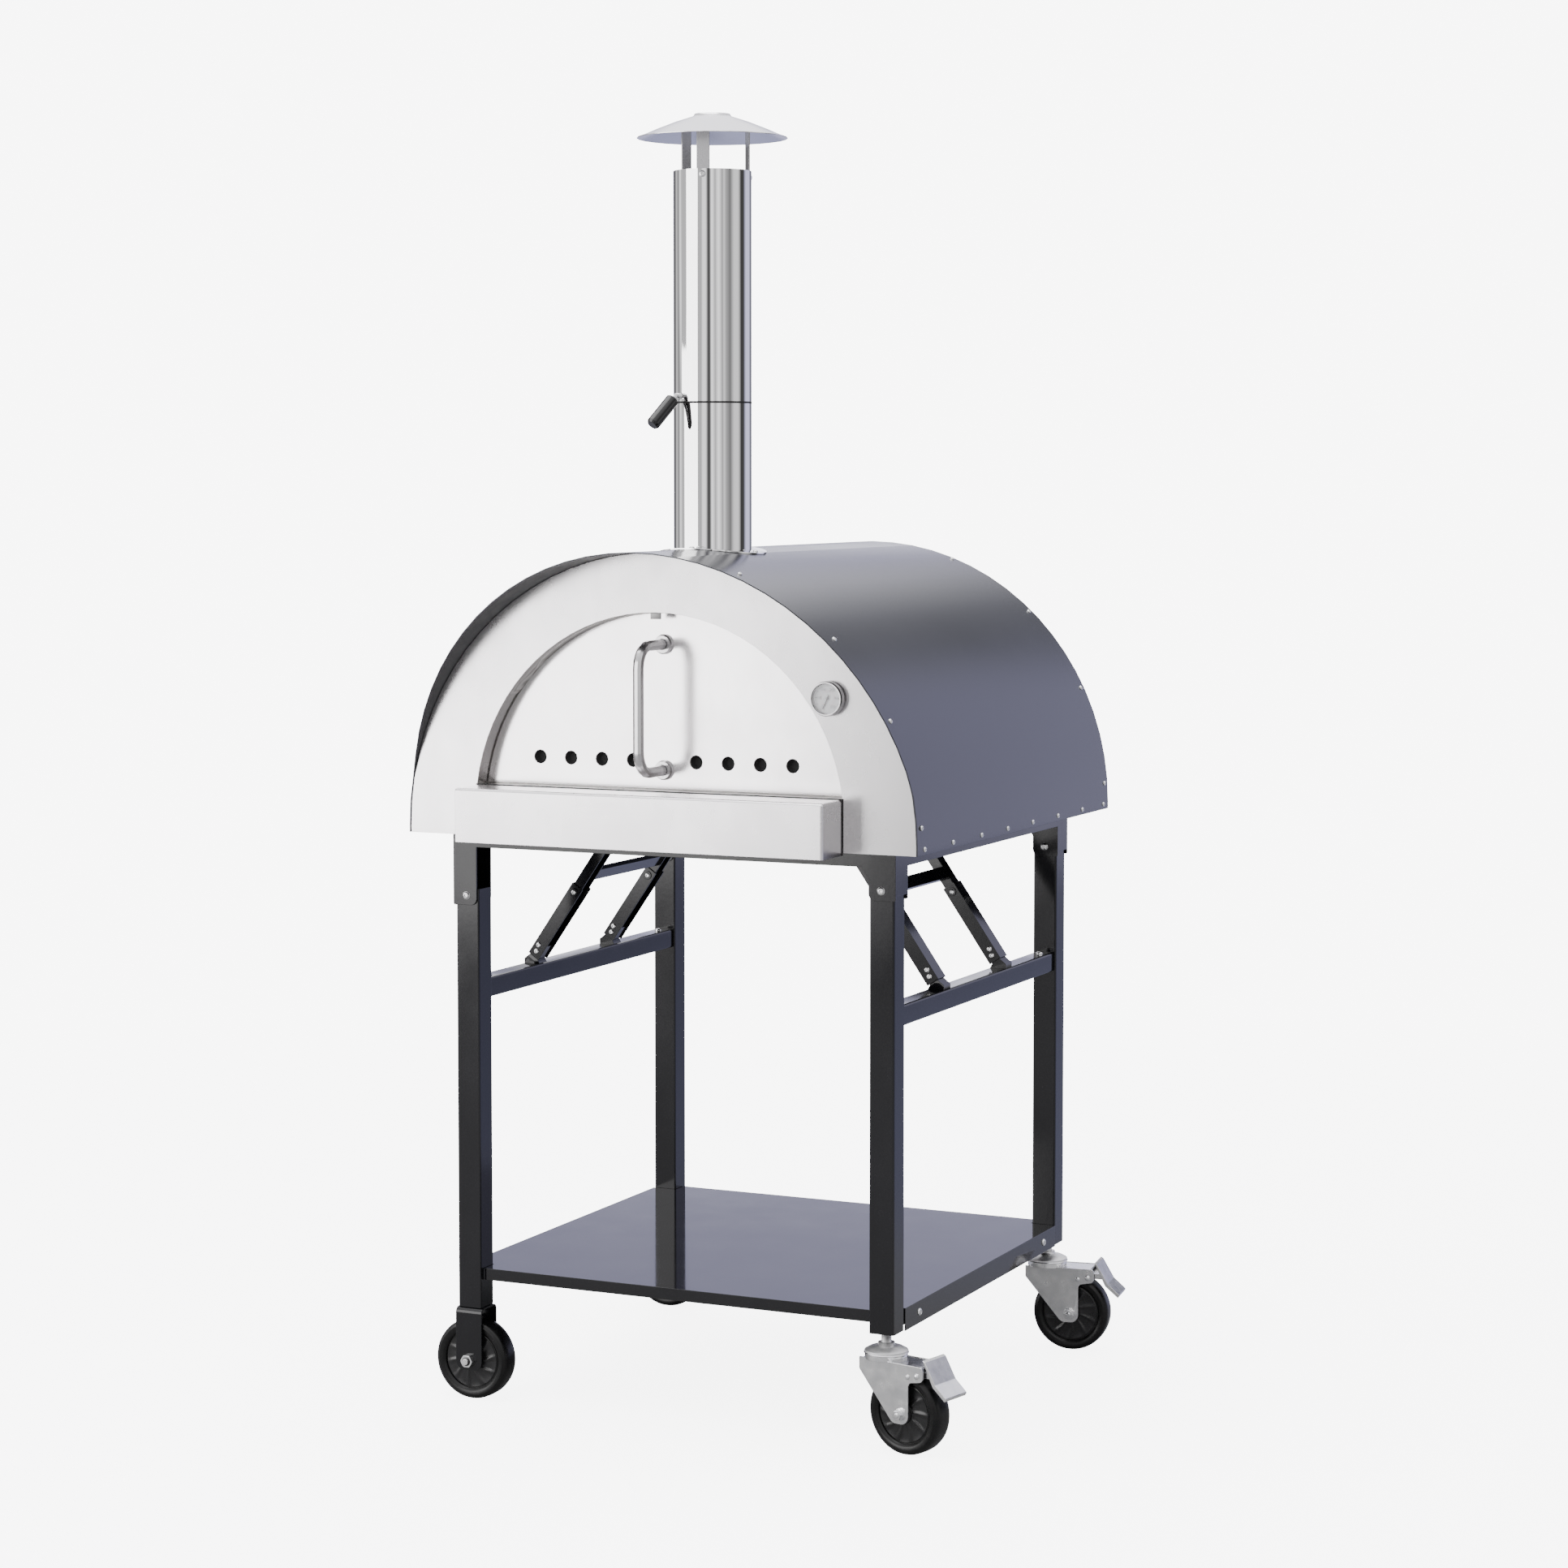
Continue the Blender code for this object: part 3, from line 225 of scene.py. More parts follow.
def brushed_steel(name, grain, colour=(0.84, 0.825, 0.835), rough=(0.25, 0.33), painted_shade_share=1.0):
    """Satin stainless: very fine lines along the grain, slow clouding and faint handling marks.

    The last argument is the share of its brightness that the sheet keeps towards the right and the top. This
    is painted shade: the colour is made darker where less light falls.
    """
    material, tree, shader = new_shader(name, colour, 1.0, 0.3)
    lines = noise(tree, BRUSHED[grain], 2.0, 0.6)
    clouds = noise(tree, 6.0, 3.0)
    marks = noise(tree, (38.0, 38.0, 22.0), 5.0, 0.65)
    base = tint(tree, spread(tree, lines, 0.0, 1.0), shaded(colour, 0.965), shaded(colour, 1.03))
    warm = (colour[0] * 0.95, colour[1] * 0.93, colour[2] * 0.94)
    clouds_and_painted_shade = tint(tree, spread(tree, clouds, 0.0, 0.6), base, warm)
    # painted shade: the sheet's colour darkens towards the right and the top, where less light falls
    if painted_shade_share < 1.0:
        place = add_node(tree, "ShaderNodeTexCoord").outputs["Object"]
        parts = add_node(tree, "ShaderNodeSeparateXYZ", Vector=place)
        across = spread(tree, parts.outputs["X"], 0.0, 1.0, -0.10, 0.30)
        up = spread(tree, parts.outputs["Z"], 0.0, 0.7, 0.82, 1.04)
        clouds_and_painted_shade = tint(tree, math_node(tree, "MAXIMUM", across, up), clouds_and_painted_shade, shaded(colour, painted_shade_share))
    roughness = math_node(tree, "ADD", spread(tree, clouds, *rough), spread(tree, marks, -0.015, 0.025))
    normal = bump(tree, lines, 0.00002, 0.5, soft_edges(tree, 0.0006))
    finish_shader(tree, shader, clouds_and_painted_shade, roughness, normal)
    return material


def polished_steel(name):
    """Mirror-polished stainless tube: slight waves down its length and faint drawing lines."""
    material, tree, shader = new_shader(name, (0.84, 0.84, 0.85), 1.0, 0.08)
    waves = noise(tree, (24.0, 24.0, 1.3), 2.0, 0.45)
    lines = noise(tree, (700.0, 700.0, 3.0), 2.0, 0.6)
    haze = noise(tree, (9.0, 9.0, 4.0), 3.0)
    normal = bump(tree, lines, 0.000008, 0.5, bump(tree, waves, 0.0006, 0.8))
    base = tint(tree, spread(tree, lines, 0.0, 1.0), (0.82, 0.82, 0.825), (0.90, 0.90, 0.905))
    finish_shader(tree, shader, base, spread(tree, haze, 0.015, 0.035), normal)
    return material


def shell_paint(name):
    """Satin charcoal coating with a fine orange peel, a little dust and slow tone changes."""
    material, tree, shader = new_shader(name, (0.020, 0.021, 0.025), 0.0, 0.3)
    clouds = noise(tree, (4.0, 3.0, 5.0), 4.0)
    grain = noise(tree, 1500.0, 2.0, 0.6)
    peel = noise(tree, 260.0, 2.0, 0.5)
    base = tint(tree, spread(tree, clouds, 0.0, 1.0), (0.011, 0.0115, 0.016), (0.017, 0.0175, 0.024))
    flecked = tint(tree, spread(tree, grain, 0.0, 0.25, 0.55, 0.75), base, (0.040, 0.041, 0.052))
    edges = math_node(tree, "MULTIPLY", edge_mask(tree, 0.0010), 0.30)
    worn = tint(tree, edges, flecked, (0.10, 0.10, 0.105))
    normal = bump(tree, peel, 0.00004, 0.5, soft_edges(tree, 0.0008))
    normal = bump(tree, grain, 0.00002, 0.5, normal)
    roughness = math_node(tree, "ADD", spread(tree, clouds, 0.16, 0.21), spread(tree, grain, -0.02, 0.04))
    finish_shader(tree, shader, worn, roughness, normal)
    shader.inputs["Specular IOR Level"].default_value = 0.55
    shader.inputs["Specular Tint"].default_value = (0.93, 0.94, 1.0, 1.0)
    return material


def black_paint(name, rough=(0.10, 0.18), peel_depth=0.00003, specular=0.42):
    """Gloss black coating: orange peel, handling smudges and slightly rubbed edges."""
    material, tree, shader = new_shader(name, (0.010, 0.010, 0.012), 0.0, 0.16)
    smudges = noise(tree, (11.0, 11.0, 7.0), 5.0, 0.6)
    peel = noise(tree, 170.0, 2.0, 0.5)
    specks = noise(tree, 900.0, 1.0, 0.5)
    base = tint(tree, spread(tree, smudges, 0.0, 1.0), (0.003, 0.003, 0.004), (0.006, 0.006, 0.0075))
    dusty = tint(tree, spread(tree, specks, 0.0, 0.3, 0.70, 0.80), base, (0.07, 0.07, 0.08))
    worn = tint(tree, math_node(tree, "MULTIPLY", edge_mask(tree, 0.0008), 0.25), dusty, (0.10, 0.10, 0.105))
    normal = bump(tree, peel, peel_depth, 0.5, soft_edges(tree, 0.0008))
    finish_shader(tree, shader, worn, spread(tree, smudges, *rough), normal)
    shader.inputs["Specular IOR Level"].default_value = specular
    return material


def zinc_plate(name, rough=(0.18, 0.28)):
    """Bright zinc plating: mottled, a little blue and yellow, with soft pressed edges."""
    material, tree, shader = new_shader(name, (0.66, 0.67, 0.68), 1.0, 0.25)
    spangle = cells(tree, 260.0)
    mottle = noise(tree, 70.0, 4.0, 0.6)
    base = tint(tree, spread(tree, mottle, 0.0, 1.0), (0.72, 0.73, 0.75), (0.88, 0.88, 0.88))
    facets = tint(tree, math_node(tree, "MULTIPLY", spangle, 0.2), base, (0.74, 0.72, 0.68))
    normal = bump(tree, mottle, 0.00004, 0.5, soft_edges(tree, 0.0010))
    finish_shader(tree, shader, facets, spread(tree, mottle, *rough), normal)
    return material


def rubber(name):
    """Black rubber tread with a moulded skin and a trace of floor dust."""
    material, tree, shader = new_shader(name, (0.012, 0.012, 0.012), 0.0, 0.45)
    skin = noise(tree, 900.0, 3.0, 0.6)
    dust = noise(tree, 55.0, 5.0, 0.65)
    base = tint(tree, spread(tree, dust, 0.0, 0.5, 0.5, 0.8), (0.003, 0.003, 0.0032), (0.014, 0.0135, 0.013))
    normal = bump(tree, skin, 0.00005, 0.6, soft_edges(tree, 0.0008))
    finish_shader(tree, shader, base, spread(tree, dust, 0.24, 0.36), normal)
    shader.inputs["Specular IOR Level"].default_value = 0.3
    return material


def moulded_plastic(name, rough=(0.24, 0.34), colour=(0.005, 0.005, 0.0053)):
    """Black moulded plastic with a fine spark-eroded grain."""
    material, tree, shader = new_shader(name, colour, 0.0, 0.3)
    grain = noise(tree, 1300.0, 2.0, 0.6)
    patches = noise(tree, 60.0, 3.0)
    base = tint(tree, spread(tree, patches, 0.0, 1.0), colour, shaded(colour, 1.7))
    normal = bump(tree, grain, 0.00004, 0.5, soft_edges(tree, 0.0006))
    finish_shader(tree, shader, base, spread(tree, patches, *rough), normal)
    return material


def fire_stone(name):
    """Cordierite stone: sandy body, dark and pale flecks, open pores."""
    material, tree, shader = new_shader(name, (0.60, 0.52, 0.41), 0.0, 0.85)
    sand = noise(tree, 420.0, 5.0, 0.7)
    patches = noise(tree, 14.0, 4.0, 0.6)
    pores = cells(tree, 330.0)
    base = tint(tree, spread(tree, sand, 0.0, 1.0, 0.35, 0.65), (0.44, 0.37, 0.28), (0.72, 0.65, 0.53))
    toasted = tint(tree, spread(tree, patches, 0.0, 0.55, 0.45, 0.75), base, (0.36, 0.28, 0.20))
    height = math_node(tree, "ADD", sand, spread(tree, pores, -0.8, 0.0, 0.05, 0.30))
    finish_shader(tree, shader, toasted, spread(tree, sand, 0.78, 0.95), bump(tree, height, 0.0005, 0.7))
    return material


def ceramic_fibre(name):
    """Off-white mineral wool with a matted surface."""
    material, tree, shader = new_shader(name, (0.82, 0.80, 0.75), 0.0, 0.95)
    wool = noise(tree, (160.0, 420.0, 160.0), 6.0, 0.75)
    lumps = noise(tree, 30.0, 3.0)
    base = tint(tree, spread(tree, wool, 0.0, 1.0), (0.70, 0.67, 0.61), (0.90, 0.88, 0.84))
    height = math_node(tree, "ADD", wool, lumps)
    finish_shader(tree, shader, base, spread(tree, wool, 0.88, 0.98), bump(tree, height, 0.0012, 0.8))
    return material


def dial_face(name):
    """White enamelled dial, very slightly uneven."""
    material, tree, shader = new_shader(name, (0.86, 0.85, 0.85), 0.0, 0.35)
    speck = noise(tree, 500.0, 3.0)
    base = tint(tree, spread(tree, speck, 0.0, 1.0), (0.93, 0.92, 0.92), (0.97, 0.965, 0.965))
    finish_shader(tree, shader, base, spread(tree, speck, 0.30, 0.42), bump(tree, speck, 0.00001, 0.4))
    return material


def gauge_glass(name):
    """Flat cover glass: clear, with a faint smeared reflection that grows at a glancing angle."""
    material, tree, shader = new_shader(name, (0.95, 0.96, 0.96), 0.0, 0.03)
    tree.nodes.remove(shader)
    smear = noise(tree, 160.0, 3.0)
    clear = add_node(tree, "ShaderNodeBsdfTransparent", Color=(0.97, 0.975, 0.98, 1.0))
    shine = add_node(tree, "ShaderNodeBsdfGlossy", Color=WHITE,
                     Roughness=spread(tree, smear, 0.02, 0.07))
    share = add_node(tree, "ShaderNodeFresnel", IOR=1.45).outputs["Fac"]
    mixed = add_node(tree, "ShaderNodeMixShader", i0=share, i1=clear.outputs[0], i2=shine.outputs[0])
    tree.links.new(mixed.outputs[0], tree.nodes["Material Output"].inputs["Surface"])
    return material


def ink(name, colour):
    """Printed marks on the dial, a little uneven in density."""
    material, tree, shader = new_shader(name, colour, 0.0, 0.5)
    density = noise(tree, 900.0, 2.0)
    faded = tuple(value * 1.6 + 0.02 for value in colour)
    base = tint(tree, spread(tree, density, 0.0, 1.0), colour, faded)
    finish_shader(tree, shader, base, spread(tree, density, 0.42, 0.58))
    return material


# the face's colour holds painted shade: it keeps 62 % of its brightness towards the right and the top
FACE_STEEL = brushed_steel("face_steel", "x", rough=(0.22, 0.29), painted_shade_share=0.62)
LEDGE_STEEL = brushed_steel("ledge_steel", "x", rough=(0.24, 0.30))
DOOR_STEEL = brushed_steel("door_steel", "z", (0.86, 0.845, 0.85), (0.15, 0.21))
JAMB_STEEL = brushed_steel("jamb_steel", "x", (0.39, 0.38, 0.37), (0.24, 0.34))
INNER_STEEL = brushed_steel("inner_steel", "y", (0.52, 0.50, 0.47), (0.28, 0.42))
CAP_STEEL = brushed_steel("cap_steel", "y", (0.82, 0.82, 0.835), (0.18, 0.26))
STRAP_STEEL = brushed_steel("strap_steel", "z", (0.46, 0.46, 0.47), (0.22, 0.32))
HANDLE_STEEL = brushed_steel("handle_steel", "z", (0.56, 0.555, 0.56), (0.18, 0.25))
MIRROR_STEEL = polished_steel("mirror_steel")
CLIP_STEEL = brushed_steel("clip_steel", "x", (0.20, 0.20, 0.20), (0.30, 0.40))
CHARCOAL = shell_paint("charcoal_coating")
HOOD_INSIDE = moulded_plastic("hood_inside_coating", (0.40, 0.5), (0.014, 0.014, 0.016))
BLACK = black_paint("black_coating")
SHELF_BLACK = black_paint("shelf_coating", (0.05, 0.08), 0.00002, 0.5)
ZINC = zinc_plate("zinc_plating")
ZINC_HEAD = zinc_plate("zinc_head_plating", (0.42, 0.52))
TREAD = rubber("tread_rubber")
HUB_PLASTIC = moulded_plastic("hub_plastic")
# black for the soot line in the flue's seam, and painted shade in the vent caps and in the strip behind the
# ledge
SOOT_AND_SHADE_BLACK = moulded_plastic("soot_and_painted_shade_black", (0.75, 0.9), (0.004, 0.004, 0.004))
GRIP_PLASTIC = moulded_plastic("grip_plastic", (0.09, 0.15))
STONE = fire_stone("fire_stone")
FIBRE = ceramic_fibre("ceramic_fibre")
DIAL = dial_face("dial_enamel")
GLASS = gauge_glass("cover_glass")
DARK_INK = ink("dial_ink_dark", (0.06, 0.06, 0.07))
RED_INK = ink("dial_ink_red", (0.45, 0.05, 0.04))


def paint(material, *names):
    """Give CAD nodes a material."""
    for name in names:
        for place in NODES[name].material_slots:
            place.material = material


def with_prefix(*prefixes):
    """Return the CAD nodes whose names start in one of these ways."""
    return [name for name in NODES if name.startswith(prefixes)]


paint(FACE_STEEL, "front_panel", "back_panel")
paint(LEDGE_STEEL, "front_ledge")
paint(JAMB_STEEL, "arch_jamb")
paint(DOOR_STEEL, "door_panel")
paint(INNER_STEEL, "inner_dome", "inner_back_wall")
paint(HANDLE_STEEL, "door_handle", "handle_ferrule_lower", "handle_ferrule_upper", "thermometer_case")
paint(CAP_STEEL, "rain_cap")
paint(STRAP_STEEL, *with_prefix("cap_strut"))
paint(MIRROR_STEEL, "chimney_lower", "chimney_upper", "chimney_collar", "damper_blade")
paint(CHARCOAL, "outer_shell")
paint(BLACK, "base_pan", "base_frame", "thermometer_needle")
paint(BLACK, *with_prefix("leg_", "upper_rail", "lower_rail", "stay_", "fixed_fork"))
paint(SHELF_BLACK, "shelf")
paint(ZINC, *with_prefix("fixed_axle", "caster_fork", "caster_brake"))
paint(ZINC_HEAD, *with_prefix("caster_mount"))
paint(TREAD, *with_prefix("fixed_wheel", "caster_wheel"))
paint(GRIP_PLASTIC, "damper_grip")
paint(STONE, *with_prefix("hearth_stone"))
paint(FIBRE, "insulation_blanket", "floor_board", "door_insulation")
paint(DIAL, "thermometer_dial")
paint(GLASS, "thermometer_glass")


# ---------------------------------------------------------------- mesh helpers

def add_piece(name, bm, material, body, smooth_angle=35.0):
    """Make a piece from a bmesh in the row frame, and let it ride on a body."""
    bmesh.ops.recalc_face_normals(bm, faces=bm.faces)
    mesh = bpy.data.meshes.new(name)
    bm.to_mesh(mesh)
    bm.free()
    mesh.materials.append(material)
    mesh.shade_smooth()
    mesh.set_sharp_from_angle(angle=math.radians(smooth_angle))
    obj = bpy.data.objects.new(name, mesh)
    bpy.context.scene.collection.objects.link(obj)
    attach(obj, body)
    return obj


def smoothed(names, angle=32.0):
    """Replace each faceted CAD node by a welded copy with smooth round faces and sharp edges."""
    for name in names:
        node = NODES[name]
        bm = bmesh.new()
        bm.from_mesh(node.data)
        bmesh.ops.transform(bm, matrix=node.matrix_world, verts=bm.verts)
        bmesh.ops.remove_doubles(bm, verts=bm.verts, dist=0.00001)
        bmesh.ops.dissolve_limit(bm, angle_limit=math.radians(0.5), verts=bm.verts, edges=bm.edges)
        material = node.material_slots[0].material
        piece = add_piece(f"{name}_skin", bm, material, body_of(node)[0], angle)
        flat = piece.modifiers.new("flat_faces", "WEIGHTED_NORMAL")
        flat.mode = "FACE_AREA"
        flat.weight = 100
        flat.keep_sharp = True
        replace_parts(piece, name)


def darken_hood():
    """Give the faces of the outer shell that look inwards a dull black coating."""
    skin = bpy.data.objects["outer_shell_skin"]
    skin.data.materials.append(HOOD_INSIDE)
    for face in skin.data.polygons:
        out = Vector((face.center.x - FLUE.x, 0.0, max(0.0, face.center.z - SHELL_CENTRE_Z)))
        if face.normal.dot(out) < -0.05:
            face.material_index = 1


def frame_at(place, direction):
    """Return a matrix that puts local Z along a direction at a place."""
    turn = Vector((0.0, 0.0, 1.0)).rotation_difference(Vector(direction).normalized())
    return Matrix.Translation(Vector(place)) @ turn.to_matrix().to_4x4()


def add_ring(bm, matrix, steps, spot):
    """Add a ring of points: spot gives the radius and the height at an angle."""
    ring = []
    for i in range(steps):
        angle = 2 * math.pi * i / steps
        radius, height = spot(angle)
        place = Vector((radius * math.cos(angle), radius * math.sin(angle), height))
        ring.append(bm.verts.new(matrix @ place))
    return ring


def bridge(bm, lower, upper):
    """Join two rings with faces. One of them may be a single point."""
    steps = max(len(lower), len(upper))
    for i in range(steps):
        j = (i + 1) % steps
        if len(lower) == 1:
            bm.faces.new((lower[0], upper[i], upper[j]))
        elif len(upper) == 1:
            bm.faces.new((lower[i], upper[0], lower[j]))
        else:
            bm.faces.new((lower[i], lower[j], upper[j], upper[i]))


def close_stack(bm, rings):
    """Join a stack of rings and cap both its ends."""
    for lower, upper in zip(rings, rings[1:]):
        bridge(bm, lower, upper)
    bm.faces.new(rings[-1])
    bm.faces.new(list(reversed(rings[0])))


def lathe(bm, profile, matrix, steps=32):
    """Add a turned body: a profile of (radius, height) points that starts and ends on the axis or closes."""
    rings = []
    for point in profile:
        if point[0] == 0.0:
            rings.append([bm.verts.new(matrix @ Vector((0.0, 0.0, point[1])))])
        else:
            rings.append(add_ring(bm, matrix, steps, lambda angle: point))
    pairs = list(zip(rings, rings[1:]))
    if profile[0][0] > 0.0:
        pairs.append((rings[-1], rings[0]))
    for lower, upper in pairs:
        bridge(bm, lower, upper)


def mirrored(profile):
    """Return a profile followed by its reflection in the wheel's middle plane."""
    return profile + [(radius, -height) for radius, height in reversed(profile)]


def from_hexagon_flat(angle):
    """Return the angle from the middle of the nearest flat of a hexagon."""
    return (angle % (math.pi / 3)) - math.pi / 6


def recess_radius(angle, size, shape):
    """Return how far a driver recess reaches at an angle: a hexagon or a rounded cross."""
    if shape == "hex":
        return size * math.cos(math.pi / 6) / math.cos(from_hexagon_flat(angle))
    return size * (0.42 + 0.58 * abs(math.cos(2 * angle)) ** 3)


HEAD_STEPS = 24
SUNK = 0.0004                                   # how far a screw head starts inside its sheet


def screw(bm, place, direction, radius, height, shape="hex"):
    """Add a domed screw head with a driver recess."""
    matrix = frame_at(place, direction)
    dome = [(radius, -SUNK), (radius, height * 0.18), (radius * 0.93, height * 0.52),
            (radius * 0.76, height * 0.82), (radius * 0.58, height)]
    recess = [(radius * 0.46, height), (radius * 0.42, height * 0.25)]
    rings = [add_ring(bm, matrix, HEAD_STEPS, lambda angle: point) for point in dome]
    for size, level in recess:
        rings.append(add_ring(bm, matrix, HEAD_STEPS,
                              lambda angle: (recess_radius(angle, size * 1.08, shape), level)))
    close_stack(bm, rings)


def nut(bm, place, direction, across, height, bore=0.0):
    """Add a hexagon nut with chamfered corners and, if asked, the bolt's end in its bore."""
    matrix = frame_at(place, direction)
    corner = across / 2 * 1.155

    def spot(level, chamfer):
        return lambda angle: (min(across / 2 / math.cos(from_hexagon_flat(angle)), corner * chamfer), level)

    levels = ((0.0, 0.94), (height * 0.12, 1.0), (height * 0.88, 1.0), (height, 0.94))
    close_stack(bm, [add_ring(bm, matrix, HEAD_STEPS, spot(*level)) for level in levels])
    if bore:
        start = height - 0.0005
        end = height + 0.0018
        profile = [(0.0, start), (bore, start), (bore, end - 0.0005), (bore * 0.8, end), (0.0, end)]
        lathe(bm, profile, matrix, 20)


def washer(bm, place, direction, outer, inner, thickness):
    """Add a flat washer with softened rims."""
    rim = thickness * 0.25
    profile = [(inner, 0.0), (outer - rim, 0.0), (outer, rim), (outer, thickness - rim),
               (outer - rim, thickness), (inner, thickness)]
    lathe(bm, profile, frame_at(place, direction), 32)


def block(bm, low, high, bevel):
    """Add a box with rounded edges."""
    low = Vector(low)
    high = Vector(high)
    made = bmesh.ops.create_cube(bm, size=1.0)["verts"]
    bmesh.ops.scale(bm, vec=high - low, verts=made)
    bmesh.ops.translate(bm, vec=(low + high) / 2, verts=made)
    edges = list({edge for vert in made for edge in vert.link_edges})
    bmesh.ops.bevel(bm, geom=edges, offset=bevel, segments=3, affect="EDGES", profile=0.5)


# ---------------------------------------------------------------- screws, bolts and nuts

PAN_HEAD = (0.0031, 0.0018, "cross")            # head radius, head height, driver recess
SADDLE_HEAD = (0.0032, 0.0018, "cross")
STRAP_HEAD = (0.0040, 0.0022, "cross")
PIVOT_HEAD = (0.0043, 0.0024, "hex")
STAY_HEAD = (0.0035, 0.0018, "hex")
SHELF_HEAD = (0.0046, 0.0024, "hex")
STUD_HEAD = (0.0048, 0.0026, "hex")


def build_shell_screws():
    """Pan-head screws along both lower edges of the shell and up its front and back rims."""
    low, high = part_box("outer_shell")
    radius = (high.x - low.x) / 2
    row_ys = (-0.1355, -0.0485, 0.042, 0.128, 0.214, 0.303, 0.392, 0.472)       # from the flue's axis
    front_corner = (-0.145, 0.740)                                              # y from the flue's axis, z
    back_rim = (4, 26, 47, 69)                                                  # degrees up the arc
    front_rim = ((25.5, 0.015), (45, 0.026), (68, 0.026))                       # degrees, inset from the edge
    front_edge_y = -0.157
    bm = bmesh.new()

    def on_arc(side, degrees):
        angle = math.radians(degrees)
        out = Vector((side * math.cos(angle), 0.0, math.sin(angle)))
        return out, Vector((FLUE.x, 0.0, SHELL_CENTRE_Z)) + out * radius

    for side in SIDES.values():
        x = FLUE.x + side * radius
        for y in row_ys:
            screw(bm, (x, at(0, y, 0).y, low.z + 0.0065), (side, 0, 0), *PAN_HEAD)
        screw(bm, (x, at(0, front_corner[0], 0).y, front_corner[1]), (side, 0, 0), *PAN_HEAD)
        for degrees in back_rim:
            out, place = on_arc(side, degrees)
            screw(bm, (place.x, high.y - 0.012, place.z), out, *PAN_HEAD)
        for degrees, inset in front_rim:
            out, place = on_arc(side, degrees)
            lean = RAKE * max(0.0, place.z - RAKE_START_Z)
            screw(bm, (place.x, at(0, front_edge_y + inset, 0).y - lean, place.z), out, *PAN_HEAD)
    add_piece("shell_screws", bm, ZINC, "oven")


def build_pivot_bolts():
    """Button-head bolts through the base frame's ears, with nuts at the back of each ear pair."""
    ear = 0.0023                                # from the leg to an ear's outer face
    thin = 0.0005                               # front washer
    thick = 0.0010                              # back washer
    bm = bmesh.new()
    for (side, end), leg in LEG.items():
        low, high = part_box(f"leg_{end}_{side}")
        front = Vector((leg.x, low.y - ear, PIVOT_Z[side]))
        washer(bm, front, (0, -1, 0), 0.0049, 0.0030, thin)
        screw(bm, front + Vector((0, -thin, 0)), (0, -1, 0), *PIVOT_HEAD)
        back = Vector((leg.x, high.y + ear, PIVOT_Z[side]))
        washer(bm, back, (0, 1, 0), 0.0080, 0.0042, thick)
        nut(bm, back + Vector((0, thick, 0)), (0, 1, 0), 0.011, 0.0052, 0.0030)
    add_piece("pivot_bolts", bm, ZINC, "oven")


def build_stay_hardware():
    """Bolts at the feet and middle joints of the stays, with black collars and cap nuts at the middles."""
    along = (STAY_MIDDLE - STAY_FOOT).normalized()
    inward = Vector((-along.y, along.x))
    second = STAY_FOOT + along * 0.0085 - inward * 0.002
    cap_nut = [(0.0, 0.0018), (0.0054, 0.0018), (0.0058, 0.0026), (0.0058, 0.0062), (0.0050, 0.0082),
               (0.0030, 0.0094), (0.0, 0.0098)]
    bolts = bmesh.new()
    caps = bmesh.new()
    for side_name, side in SIDES.items():
        for end in ENDS:
            low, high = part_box(f"stay_lower_{side_name}_{end}")
            for face, direction in ((low.y, -1.0), (high.y, 1.0)):
                for spot in (STAY_FOOT, second, STAY_MIDDLE):
                    screw(bolts, (FLUE.x + side * spot.x, face, spot.y), (0, direction, 0), *STAY_HEAD)
            pin_x = FLUE.x + side * STAY_MIDDLE.x
            washer(caps, (pin_x, low.y - 0.0002, STAY_MIDDLE.y), (0, -1, 0), 0.0056, 0.0030, 0.0008)
            lathe(caps, cap_nut, frame_at((pin_x, high.y, STAY_MIDDLE.y), (0, 1, 0)), 28)
    add_piece("stay_bolts", bolts, ZINC, "oven")
    add_piece("stay_caps", caps, BLACK, "oven")


def build_stand_screws():
    """Screws of the shelf's lips, the upper rails, the chimney's collar and the cap's straps."""
    low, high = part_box("shelf")
    shelf_ys = (-0.045, 0.372)                  # from the flue's axis
    stud_gap = 0.019                            # from a leg to the screw beside it
    collar_ring = 0.0575
    strap_ring = 0.0475
    strap_z = 1.5050
    first_strap = -78.5                         # degrees round the flue
    bm = bmesh.new()
    for side in SIDES.values():
        x = FLUE.x + side * (high.x - low.x) / 2
        for y in shelf_ys:
            screw(bm, (x, at(0, y, 0).y, SHELF_SCREW_Z), (side, 0, 0), *SHELF_HEAD)
    for name, side in SIDES.items():
        x = FLUE.x + side * STUD_X
        for y in (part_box(f"leg_back_{name}")[0].y - stud_gap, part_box(f"leg_front_{name}")[1].y + stud_gap):
            screw(bm, (x, y, RAIL_TOP_Z), (0, 0, 1), *STUD_HEAD)
    for degrees in (0, 90, 180, 270):
        x = collar_ring * math.cos(math.radians(degrees))
        y = collar_ring * math.sin(math.radians(degrees))
        rise = math.sqrt(SADDLE_R ** 2 - x ** 2)
        screw(bm, at(x, y, SHELL_CENTRE_Z + rise), (x / SADDLE_R, 0, rise / SADDLE_R), *SADDLE_HEAD)
    for number in range(3):
        angle = math.radians(first_strap + 120 * number)
        out = Vector((math.cos(angle), math.sin(angle), 0.0))
        screw(bm, at(out.x * strap_ring, out.y * strap_ring, strap_z), out, *STRAP_HEAD)
    add_piece("stand_screws", bm, ZINC, "oven")


def build_arch_clip():
    """Small bent clip at the top of the arch that keeps the loose door upright."""
    low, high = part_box("arch_jamb")
    left = FLUE.x - 0.008
    right = FLUE.x + 0.006
    start = low.y + 0.002
    bm = bmesh.new()
    block(bm, (left, start, high.z - 0.0022), (right, low.y + 0.016, high.z - 0.0010), 0.0004)
    block(bm, (left, start, high.z - 0.0095), (right, low.y + 0.0032, high.z - 0.0012), 0.0004)
    add_piece("arch_clip", bm, CLIP_STEEL, "oven")


